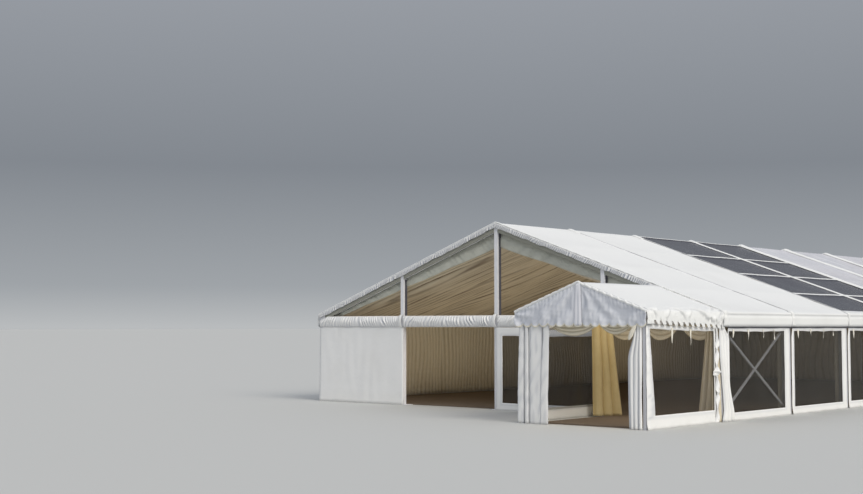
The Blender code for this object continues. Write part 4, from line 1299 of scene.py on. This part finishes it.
def makePorchGable():
    width = 2 * porchHalf
    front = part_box("porch_gable_valance")[0].y
    tongues = round(width / porch["scallopPitch"])

    def place(a, v):
        x = a - porchHalf
        tongue = np.abs(np.sin(math.pi * a / width * tongues)) ** 0.8
        bottom = valanceLine + 0.010 * np.sin(math.pi * a / width) - porch["scallop"] * tongue + 0.004
        top = porchRidge - np.abs(x) * math.tan(porchPitch) + 0.002
        d = np.clip(v, 0, 1)
        z = mix(top, bottom + porch["bind"], d) - porch["bind"] * np.clip(v - 1, 0, 1)
        apart = np.abs(x)
        below = top - z
        loose = ease(d, 0.0, 0.30) * ease(apart, 0.05, 0.18)
        # folds that hang from the apex, fan out from the corners, and cross the whole cloth
        fromApex = np.arctan2(apart, porchRidge + 0.10 - z)
        hanging = np.sin(fromApex * 17 + 2.6 * softNoise(x, z, 0.7, 430))
        fromCorner = np.arctan2(below + 0.05, porchHalf + 0.15 - apart)
        fan = np.sin(fromCorner * 14 + 1.8 * softNoise(x, z, 0.6, 432)) * ease(apart, 0.8, 1.35)
        broad = softNoise(x * 1.2 + z * 1.1 * np.sign(x), z * 0.35, 0.62, 431)
        relief = 0.40 * hanging + 0.45 * fan + 0.50 * broad
        fine = crease(x * 2.0 + z * 0.9 * np.sign(x), z * 0.5, 0.34, 436) ** 1.5
        fine = fine * (0.6 + 0.4 * softNoise(x, z, 0.5, 437))
        out = loose * (porch["fold"] * relief + 0.006 * softNoise(x, z, 0.12, 434) + 0.007 * fine)
        stitch = math.tau * x / porch["stitchPitch"] + 2.0 * softNoise(x, z * 0, 0.5, 435)
        stitched = np.exp(-below / 0.09) * np.sin(stitch)
        out = out + porch["stitch"] * stitched * ease(apart, 0.05, 0.12)
        wave = 0.012 * np.sin(math.tau * a / porch["scallopPitch"]) * ease(d, 0.75, 1.0)
        # painted shade on the folds' sides, along the fine creases and in the wrinkles under the verge; none
        # on the binding
        shade = loose * np.clip(0.12 - 0.30 * relief + 0.28 * fine, 0, 1) + 0.40 * np.clip(-stitched, 0, 1)
        y = front - porch["gableOut"] - np.maximum(out, -0.018) - 0.010 * loose - wave
        return porchMiddle + x, y, z, shade * (v <= 1)

    clothSheet(
        "porchGable", span([0.0, porchHalf, width], 0.0155), np.append(np.linspace(0, 1.0, 26), 2.0),
        place, [gablePvc, creamTape], ["porch_gable_valance"], thickness=thin,
        tone=lambda a, v: v > 1,
    )

    def placeSeam(a, d):
        x = porchMiddle + porch["seamShift"] + a * porch["seamStrip"] / 2 * (0.75 + 0.25 * d)
        z = mix(porchRidge - 0.02, valanceLine - 0.01, d)
        out = porch["seamOut"] + 0.010 * (1 - a ** 4) + 0.008 * softNoise(z, a * 0.1, 0.5, 433)
        # painted shade down the strip, wandering about its middle, and along one edge
        shade = 0.55 * hump(a, 0.15 * np.sin(3 * d), 0.22) * ease(d, 0.05, 0.4) + 0.4 * ease(a, 0.6, 1.0)
        return x, front - out, z, shade

    clothSheet(
        "porchGableSeam", np.linspace(-1, 1, 13), np.linspace(0, 1, 24), placeSeam, [stripPvc],
    )
    runs = []
    for sideName, side in sides:
        run = []
        for s in span([0.0, porchSlope], 0.025):
            x, z, normalX, normalZ = porchLine(side * s)
            wave = (0.010 * math.sin(s * 34) + 0.006 * math.sin(s * 71)) * (1.0 if side > 0 else 0.35)
            run.append((x, front - 0.022 - 0.6 * wave, z + 0.004 + wave))
        runs.append(run)
    tube("porchVergeHem", runs, porch["hemRadius"], roofPvc)


porchWall = {
    "below": 0.012, "windowFront": 0.13, "windowRear": 0.16, "lean": 0.17, "fall": 0.06,
    "ties": ((-2.07, 0.03, 0.29), (-1.37, 0.02, 0.33)),     # y, height over the window's head, length
}


def makePorchWalls():
    bottom, head = windowHeights("porch_right_window")
    for sideName, side in sides:
        low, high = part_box(f"porch_{sideName}_wall")
        face = facing(low.x if side > 0 else high.x, side, True)
        window = (low.y + porchWall["windowFront"], high.y - porchWall["windowRear"], bottom, head)
        hungWall(
            f"{sideName}PorchWall", face, (low.y, high.y, valanceLine - porchWall["below"]), window,
            440 + side, [f"porch_{sideName}_wall"], [f"porch_{sideName}_window"],
            lean=porchWall["lean"] if side > 0 else 0.0, fall=porchWall["fall"], rough=1.0, film=porchPvc,
        )
        if side > 0:
            ties = [(y, head + above, length) for y, above, length in porchWall["ties"]]
            hangTies("rightPorchWall", ties, face, 450)


makePorchRoof()
makePorchGable()
makePorchWalls()
print("porch made")


# Curtains, swags and drapes

floorGap = 0.004        # curtains end this far above the floor


def curtain(
    name, head, foot, top, bottom, folds, depth, seed, material, replaced=(), shape=None,
    shadeStrength=0.5, spacing=0.055,
):
    # gathered cloth between a line at its head and one at its foot, each (x, y, x, y) in plan;
    # it is seen from the right of that line
    across = np.linspace(0, 1, folds * (14 if spacing < 0.1 else 10) + 1)
    down = span([0.0, 1.0], spacing / (top - bottom))

    def place(a, d):
        x0, y0, x1, y1 = (mix(start, end, d) for start, end in zip(head, foot))
        if shape:
            x0, y0, x1, y1 = shape(d, x0, y0, x1, y1)
        runX, runY = x1 - x0, y1 - y0
        long = np.hypot(runX, runY)
        phase = math.tau * folds * (a + 0.035 * softNoise(a, d * 0.5, 0.5, seed))
        phase = phase + 0.6 * softNoise(a * 0.3, d, 0.8, seed + 1)
        wave = np.sin(phase) + 0.3 * np.sin(2 * phase + 1.1)
        out = depth * (0.55 + 0.45 * np.sqrt(d) + 0.10 * softNoise(a * 2, d, 0.7, seed + 2)) * wave
        slide = 0.18 / folds * np.cos(phase) * arch(a) ** 0.3
        along = np.clip(a + slide, 0, 1)
        # painted shade, heavier on one side of each fold
        shade = np.clip(0.18 + shadeStrength * wave, 0, 1)
        x = x0 + runX * along - runY / long * out
        y = y0 + runY * along + runX / long * out
        return x, y, mix(top, bottom, d), shade

    clothSheet(name, across, down, place, [material], replaced, thickness=thin)


whiteCurtain = {
    "back": 0.036,          # from the front of its box to the left curtain, behind the strips
    "leftIn": 0.01,         # the left curtain's edges, from those of its box
    "headIn": 0.02,
    "footIn": 0.09,
    "spread": 1.4,          # the strips are as wide as at the foot from 1 / 1.4 of the way down
    "layer": 0.014,         # between strips in front of each other
    "edgeRoll": 0.018,
    "neck": 0.18,           # width of the right curtain at its head
    # strips of the left one: edges at the head and at the foot, from the curtain's edge, and layer
    "strips": (
        (-0.055, 0.070, -0.105, 0.060, 0), (0.105, 0.178, 0.100, 0.182, 1),
        (0.212, 0.525, 0.200, 0.505, 0), (0.560, 0.715, 0.470, 0.665, 1),
    ),
}


def makeLeftCurtain():
    low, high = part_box("porch_curtain_left")
    start, y = low.x + whiteCurtain["leftIn"], low.y + whiteCurtain["back"]
    head = (start, y, high.x - whiteCurtain["headIn"], y)
    foot = (start, y, high.x - whiteCurtain["footIn"], y)
    curtain(
        "leftPorchCurtain", head, foot, high.z, floorGap, 7, 0.006, 510, wallPvc,
        ["porch_curtain_left"],
    )
    for number, (head0, head1, foot0, foot1, layer) in enumerate(whiteCurtain["strips"], 1):

        def place(a, d):
            share = np.minimum(whiteCurtain["spread"] * d, 1)
            x = low.x + mix(mix(head0, foot0, share), mix(head1, foot1, share), a)
            wide = a * (head1 - head0)
            fromMiddle = 2 * np.abs(a - 0.5)
            y = low.y + 0.004 - whiteCurtain["layer"] * layer + whiteCurtain["edgeRoll"] * fromMiddle ** 6
            y = y + 0.005 * softNoise(wide, d * 2, 0.22, 511 + number)
            # painted shade at the rolled edges, and some in soft patches
            shade = 0.5 * fromMiddle ** 5 + 0.25 * np.clip(softNoise(wide, d, 0.1, 515), 0, 1)
            return x, y, mix(high.z, floorGap, d), shade

        columns = 9 if head1 - head0 < 0.2 else 21
        clothSheet(
            f"leftPorchStrip_{number}", np.linspace(0, 1, columns), np.linspace(0, 1, 40), place,
            [wallPvc],
        )


# the bunched head of the right curtain, rolled up and tied back in front of it
curtainRoll = {"in": 0.115, "lean": 0.135, "below": 0.015, "length": 0.275, "half": 0.068, "bulge": 0.044}


def makeRightCurtain():
    low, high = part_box("porch_curtain_right")
    middle = (low.y + high.y) / 2

    def tied(d, x0, y0, x1, y1):
        neck = whiteCurtain["neck"] + (high.x - low.x - 0.19) * ease(d, 0.10, 0.36)
        return high.x - neck - 0.02 * np.sin(math.pi * d), y0, x1, y1

    line = (low.x, middle, high.x - 0.006, middle)
    curtain(
        "rightPorchCurtain", line, line, high.z, floorGap, 3, 0.024, 520, wallPvc,
        ["porch_curtain_right"], shape=tied,
    )

    def placeRoll(a, d):
        x = high.x - curtainRoll["in"] - curtainRoll["lean"] * d ** 0.8
        z = valanceLine - curtainRoll["below"] - curtainRoll["length"] * d
        half = curtainRoll["half"] * arch(0.16 + 0.80 * d) ** 0.6
        wave = np.sin(a * 9 + 2 * d)
        out = 0.016 + curtainRoll["bulge"] * (1 - a ** 2) ** 0.6 * arch(0.1 + 0.85 * d) + 0.006 * wave
        # the last value is painted shade on one side of each wrinkle
        return x + a * half * 0.92, low.y - out, z + a * half * 0.4, 0.10 - 0.30 * wave

    clothSheet(
        "rightCurtainRoll", np.linspace(-1, 1, 15), np.linspace(0, 1, 24), placeRoll, [creamTape],
    )


swagCloth = {
    "folds": 4, "ridge": 0.024, "bulge": 0.020, "neck": 0.16,
    "joins": (-0.86, 0.36, 1.18),       # in the porch, from its middle
    "endDrop": 0.15,
}


def swag(name, x0, x1, y, head, drop, seed, replaced, forward):
    # cloth caught up at two ends, so that its folds hang as nested crescents

    def place(a, d):
        neck = swagCloth["neck"]
        hang = mix(neck, 1, np.sin(math.pi * a) ** 0.75)
        depth = drop * d * hang * (1 + 0.04 * softNoise(a, d, 0.8, seed))
        turn = swagCloth["folds"] * d + 0.12 * softNoise(a * 0.7, d, 0.9, seed + 1)
        wave = np.abs(np.sin(math.pi * turn))
        out = 0.008 + swagCloth["ridge"] * wave * (0.35 + 0.65 * hang) + swagCloth["bulge"] * arch(d) * hang
        # the last value is painted shade between the crescents
        return mix(x0, x1, a), y + forward * out, head - depth, 0.85 * (1 - wave) ** 2

    clothSheet(
        name, span([0.0, 1.0], 0.022), np.linspace(0, 1, swagCloth["folds"] * 9 + 1), place,
        [ivoryVoile], replaced, thickness=thin,
    )


def makeSwags():
    low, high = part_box("porch_swags")
    joins = [low.x, *(porchMiddle + join for join in swagCloth["joins"]), high.x]
    fullDrop = high.z - low.z
    drops = [swagCloth["endDrop"], fullDrop, fullDrop - 0.03, swagCloth["endDrop"]]
    for number, (x0, x1, drop) in enumerate(zip(joins, joins[1:], drops), 1):
        replaced = ["porch_swags"] if number == 1 else ()
        swag(f"porchSwag_{number}", x0, x1, high.y - 0.012, high.z, drop, 530 + number, replaced, -1)
    low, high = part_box("doorway_swags")
    width = (high.x - low.x) / 3
    for number in range(1, 4):
        x0 = low.x + width * (number - 1)
        replaced = ["doorway_swags"] if number == 1 else ()
        swag(
            f"doorwaySwag_{number}", x0, x0 + width, low.y + 0.002, high.z, high.z - low.z, 540 + number,
            replaced, 1,
        )


ivoryCurtain = {
    "folds": 3,
    "depth": 0.030,
    "leftHead": (0.035, 0.035, 0.32, 0.39),     # from the low corner of its box
    "leftFoot": (0.045, 0.045),
    "leftFootIn": (0.03, 0.02),     # from the high corner
    "rightHeadIn": 0.22,
    "rightFlare": 0.03,
}


def makeIvoryCurtains():
    low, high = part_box("ivory_curtain_left")
    corner = (low.x, low.y)
    head = [start + shift for start, shift in zip(corner * 2, ivoryCurtain["leftHead"])]
    foot = [start + shift for start, shift in zip(corner, ivoryCurtain["leftFoot"])]
    foot += [end - shift for end, shift in zip((high.x, high.y), ivoryCurtain["leftFootIn"])]
    folds, depth = ivoryCurtain["folds"], ivoryCurtain["depth"]
    curtain(
        "leftIvoryCurtain", head, foot, high.z, low.z, folds, depth, 550, shadedIvoryVoile,
        ["ivory_curtain_left"], shadeStrength=0.3,
    )
    low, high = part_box("ivory_curtain_right")
    middle = (low.y + high.y) / 2
    head = (low.x + ivoryCurtain["rightHeadIn"], middle, high.x, middle)
    foot = (low.x - ivoryCurtain["rightFlare"], middle, high.x, middle)
    curtain(
        "rightIvoryCurtain", head, foot, high.z, low.z, folds, depth, 560, ivoryVoile,
        ["ivory_curtain_right"], shadeStrength=0.35,
    )


cornerDrape = {
    "folds": 3, "depth": 0.024, "front": 0.01, "rear": 0.20,
    "liningIn": 0.05, "liningFront": -0.24, "liningFoot": 0.30, "liningDepth": 0.014,
}


def makeCornerDrape():
    # a flared white drape over the corner leg, with an ivory lining behind it
    low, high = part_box("corner_drape")
    middle = (low.x + high.x) / 2
    x, front = middle - cornerDrape["liningIn"], low.y + cornerDrape["liningFront"]
    head = (x, front, x, low.y + cornerDrape["rear"])
    foot = (x, front, x, low.y + cornerDrape["liningFoot"])
    curtain(
        "cornerLining", head, foot, high.z - 0.02, 0.006, cornerDrape["folds"],
        cornerDrape["liningDepth"], 565, liningVoile,
    )

    def flared(d, x0, y0, x1, y1):
        near = 0.15 * ease(d, 0.10, 0.85) - 0.07 * ease(d, 0.88, 1.0)
        return x0, y0 + near, x1, y1 + 0.18 * ease(d, 0.0, 0.14) + 0.20 * ease(d, 0.55, 1.0)

    head = (middle, low.y + cornerDrape["front"], middle, low.y + cornerDrape["rear"])
    curtain(
        "cornerDrape", head, head, high.z, floorGap, cornerDrape["folds"], cornerDrape["depth"], 570,
        wallPvc, ["corner_drape"], shape=flared, shadeStrength=0.3,
    )


legDrape = {
    "half": 0.17, "leftHalf": 1.58, "lastHalf": 0.74, "rearHalf": 1.48, "off": 0.035, "overlap": 0.055,
    "head": 2.08, "foot": 0.035, "depth": 0.022, "rearFolds": 12, "spacing": 0.13,
    "lastIn": 0.17,         # from the rear face to the edge of the last drape
}


def hangDrape(name, line, folds, seed):
    curtain(
        name, line, line, legDrape["head"], legDrape["foot"], folds, legDrape["depth"], seed,
        ivoryVoile, spacing=legDrape["spacing"],
    )


def makeLegDrapes():
    # ivory drapes that hide the inner face of each leg
    for sideName, side in sides:
        for number in range(1, tent["bays"] + (side < 0)):
            # neighbours on the left lap over each other
            overlap = legDrape["overlap"] * (number % 2) * (side < 0)
            x = side * (legIn - legDrape["off"] - overlap)
            y = number * bay
            half = legDrape["half"] if side > 0 else legDrape["leftHalf"]
            if number == tent["bays"]:
                half = legDrape["lastHalf"]
                y = rearFace - legDrape["lastIn"] - half
            hangDrape(
                f"{sideName}LegDrape_{number}", (x, y - half, x, y + half), round(12 * half) + 2,
                600 + 10 * number + side,
            )


def makeRearDrapes():
    # ivory drapes drawn across the inside of the rear wall, one to each gable bay
    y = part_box("rear_gable_frame")[0].y - legDrape["off"]
    half = legDrape["rearHalf"]
    for number in range(1, tent["gableBays"] + 1):
        x = (number - 0.5) * gableBay - halfSpan
        line = (x - half, y, x + half, y)
        hangDrape(f"rearDrape_{number}", line, legDrape["rearFolds"], 680 + number)


lacedStrip = {
    "y": -0.335, "half": 0.074, "out": 0.012,
    "twist": 40.0,          # radians from head to foot
    "knot": 1.04, "knotHalf": 0.062, "knotSize": 0.075, "knotOut": 0.060,
    "lowerKnot": 0.62, "lowerHalf": 0.03, "lowerSize": 0.02,
}


def makeLacedStrip():
    # a loose white strip between the porch wall and the corner, twisted, with a knot halfway up
    top = valanceLine - 0.01

    def place(a, d):
        z = mix(top, floorGap, d)
        twist = lacedStrip["twist"] * d + 1.6 * softNoise(d, d * 0, 0.3, 580)
        knot = hump(z, lacedStrip["knot"], lacedStrip["knotHalf"]) * (1 + 0.35 * np.sin(z * 55 + 2.2 * a))
        lower = lacedStrip["lowerSize"] * hump(z, lacedStrip["lowerKnot"], lacedStrip["lowerHalf"])
        half = lacedStrip["half"] * (0.62 + 0.38 * np.abs(np.cos(twist / 2)))
        half = half + lacedStrip["knotSize"] * knot + lower
        wave = np.sin(twist + 1.8 * a)
        out = lacedStrip["out"] * (3 + wave) + lacedStrip["knotOut"] * knot * (1 - 0.7 * a ** 2) + lower
        # painted shade on the turned-away side of the twist, less on the knot
        shade = np.clip(-0.35 * wave, 0, 1) * (1 - 0.7 * np.clip(knot, 0, 1))
        droop = 0.045 * knot * np.clip(-a, 0, 1) ** 2
        y = lacedStrip["y"] + a * half - 0.05 * knot + 0.012 * np.sin(11 * d)
        return legOut + out, y, z - droop, shade

    clothSheet(
        "lacedStrip", np.linspace(-1, 1, 13), np.linspace(0, 1, 120), place, [wallPvc],
    )


makeLeftCurtain()
makeRightCurtain()
makeSwags()
makeIvoryCurtains()
makeCornerDrape()
makeLegDrapes()
makeRearDrapes()
makeLacedStrip()
print("curtains made")


# Camera, floor and light

view = {"place": (19.29, -24.42, 1.95), "tilt": 3.47, "turn": 41.17, "lens": 54.84}
camera = newObject("camera", bpy.data.cameras.new("camera"))
camera.data.sensor_width = 36.0
camera.data.lens = view["lens"]
camera.data.clip_end = 2000.0
camera.location = view["place"]
camera.rotation_euler = (math.radians(90 + view["tilt"]), 0.0, math.radians(view["turn"]))
bpy.context.scene.camera = camera

studio = {
    "floor": "#C6C7C5",
    "floorReach": 900.0,
    "backdrop": ((0.0, "#D6D9DB"), (0.03, "#B9BEC3"), (0.12, "#989EA6"), (0.75, "#F2F6FF")),     # by height
    "sky": 0.72,
    "sun": 1.90,
    "sunColour": "#FFF8EC",
    "sunSize": 34.0,
    "sunFrom": (0.96, -0.25, 0.66),
    "insideColour": "#FFF0D8",
}

# lamps under the roof stand for daylight through it: middle, width and length, watts, faces up
insideLamps = (
    ((0.0, 3.0, 0.07), (9.6, 5.4), 76.0, True),
    ((0.0, 12.0, 0.07), (9.6, 11.0), 76.0, True),
    ((porchMiddle, -1.5, 2.20), (2.3, 2.3), 22.0, False),
)


def makeStage():
    reach = studio["floorReach"]
    corners = [(-reach, -reach, 0.0), (reach, -reach, 0.0), (reach, reach, 0.0), (-reach, reach, 0.0)]
    mesh = bpy.data.meshes.new("studioFloor")
    mesh.from_pydata(corners, [], [(0, 1, 2, 3)])
    paint = {"Base Color": toLinear(studio["floor"]), "Roughness": 0.8}
    mesh.materials.append(newMaterial("studio_floor_painted", paint)[0])
    newObject("studioFloor", mesh)


def makeSky():
    world = bpy.data.worlds.new("studio_light")
    bpy.context.scene.world = world
    world.use_nodes = True
    tree = world.node_tree
    background = tree.nodes["Background"].inputs
    background["Strength"].default_value = studio["sky"]
    coords = addNode(tree, "ShaderNodeTexCoord")
    height = addNode(tree, "ShaderNodeSeparateXYZ", {}, {"Vector": coords.outputs["Generated"]})
    sky = addNode(
        tree, "ShaderNodeValToRGB", {}, {"Fac": height.outputs["Z"]}, {"Color": background["Color"]}
    )
    stops = sky.color_ramp.elements
    for _ in range(len(studio["backdrop"]) - len(stops)):
        stops.new(0.5)
    for stop, (place, colour) in zip(stops, studio["backdrop"]):
        stop.position = place
        stop.color = toLinear(colour)


def makeLamp(name, kind, power, colour):
    lamp = bpy.data.lights.new(name, kind)
    lamp.energy = power
    lamp.color = toLinear(colour)[:3]
    return newObject(name, lamp)


def makeLamps():
    sun = makeLamp("softSun", "SUN", studio["sun"], studio["sunColour"])
    sun.data.angle = math.radians(studio["sunSize"])
    sunX, sunY, sunZ = studio["sunFrom"]
    sun.rotation_euler = (math.atan2(math.hypot(sunX, sunY), sunZ), 0.0, math.atan2(sunX, -sunY))
    for number, (place, size, watts, facesUp) in enumerate(insideLamps, 1):
        light = makeLamp(f"insideLamp_{number}", "AREA", watts, studio["insideColour"])
        light.data.shape = "RECTANGLE"
        light.data.size, light.data.size_y = size
        light.location = place
        light.rotation_euler = (math.pi if facesUp else 0.0, 0.0, 0.0)
        light.visible_camera = False
        light.visible_glossy = False


bpy.context.scene.view_settings.view_transform = "Standard"
makeStage()
makeSky()
makeLamps()
print("stage and light made")
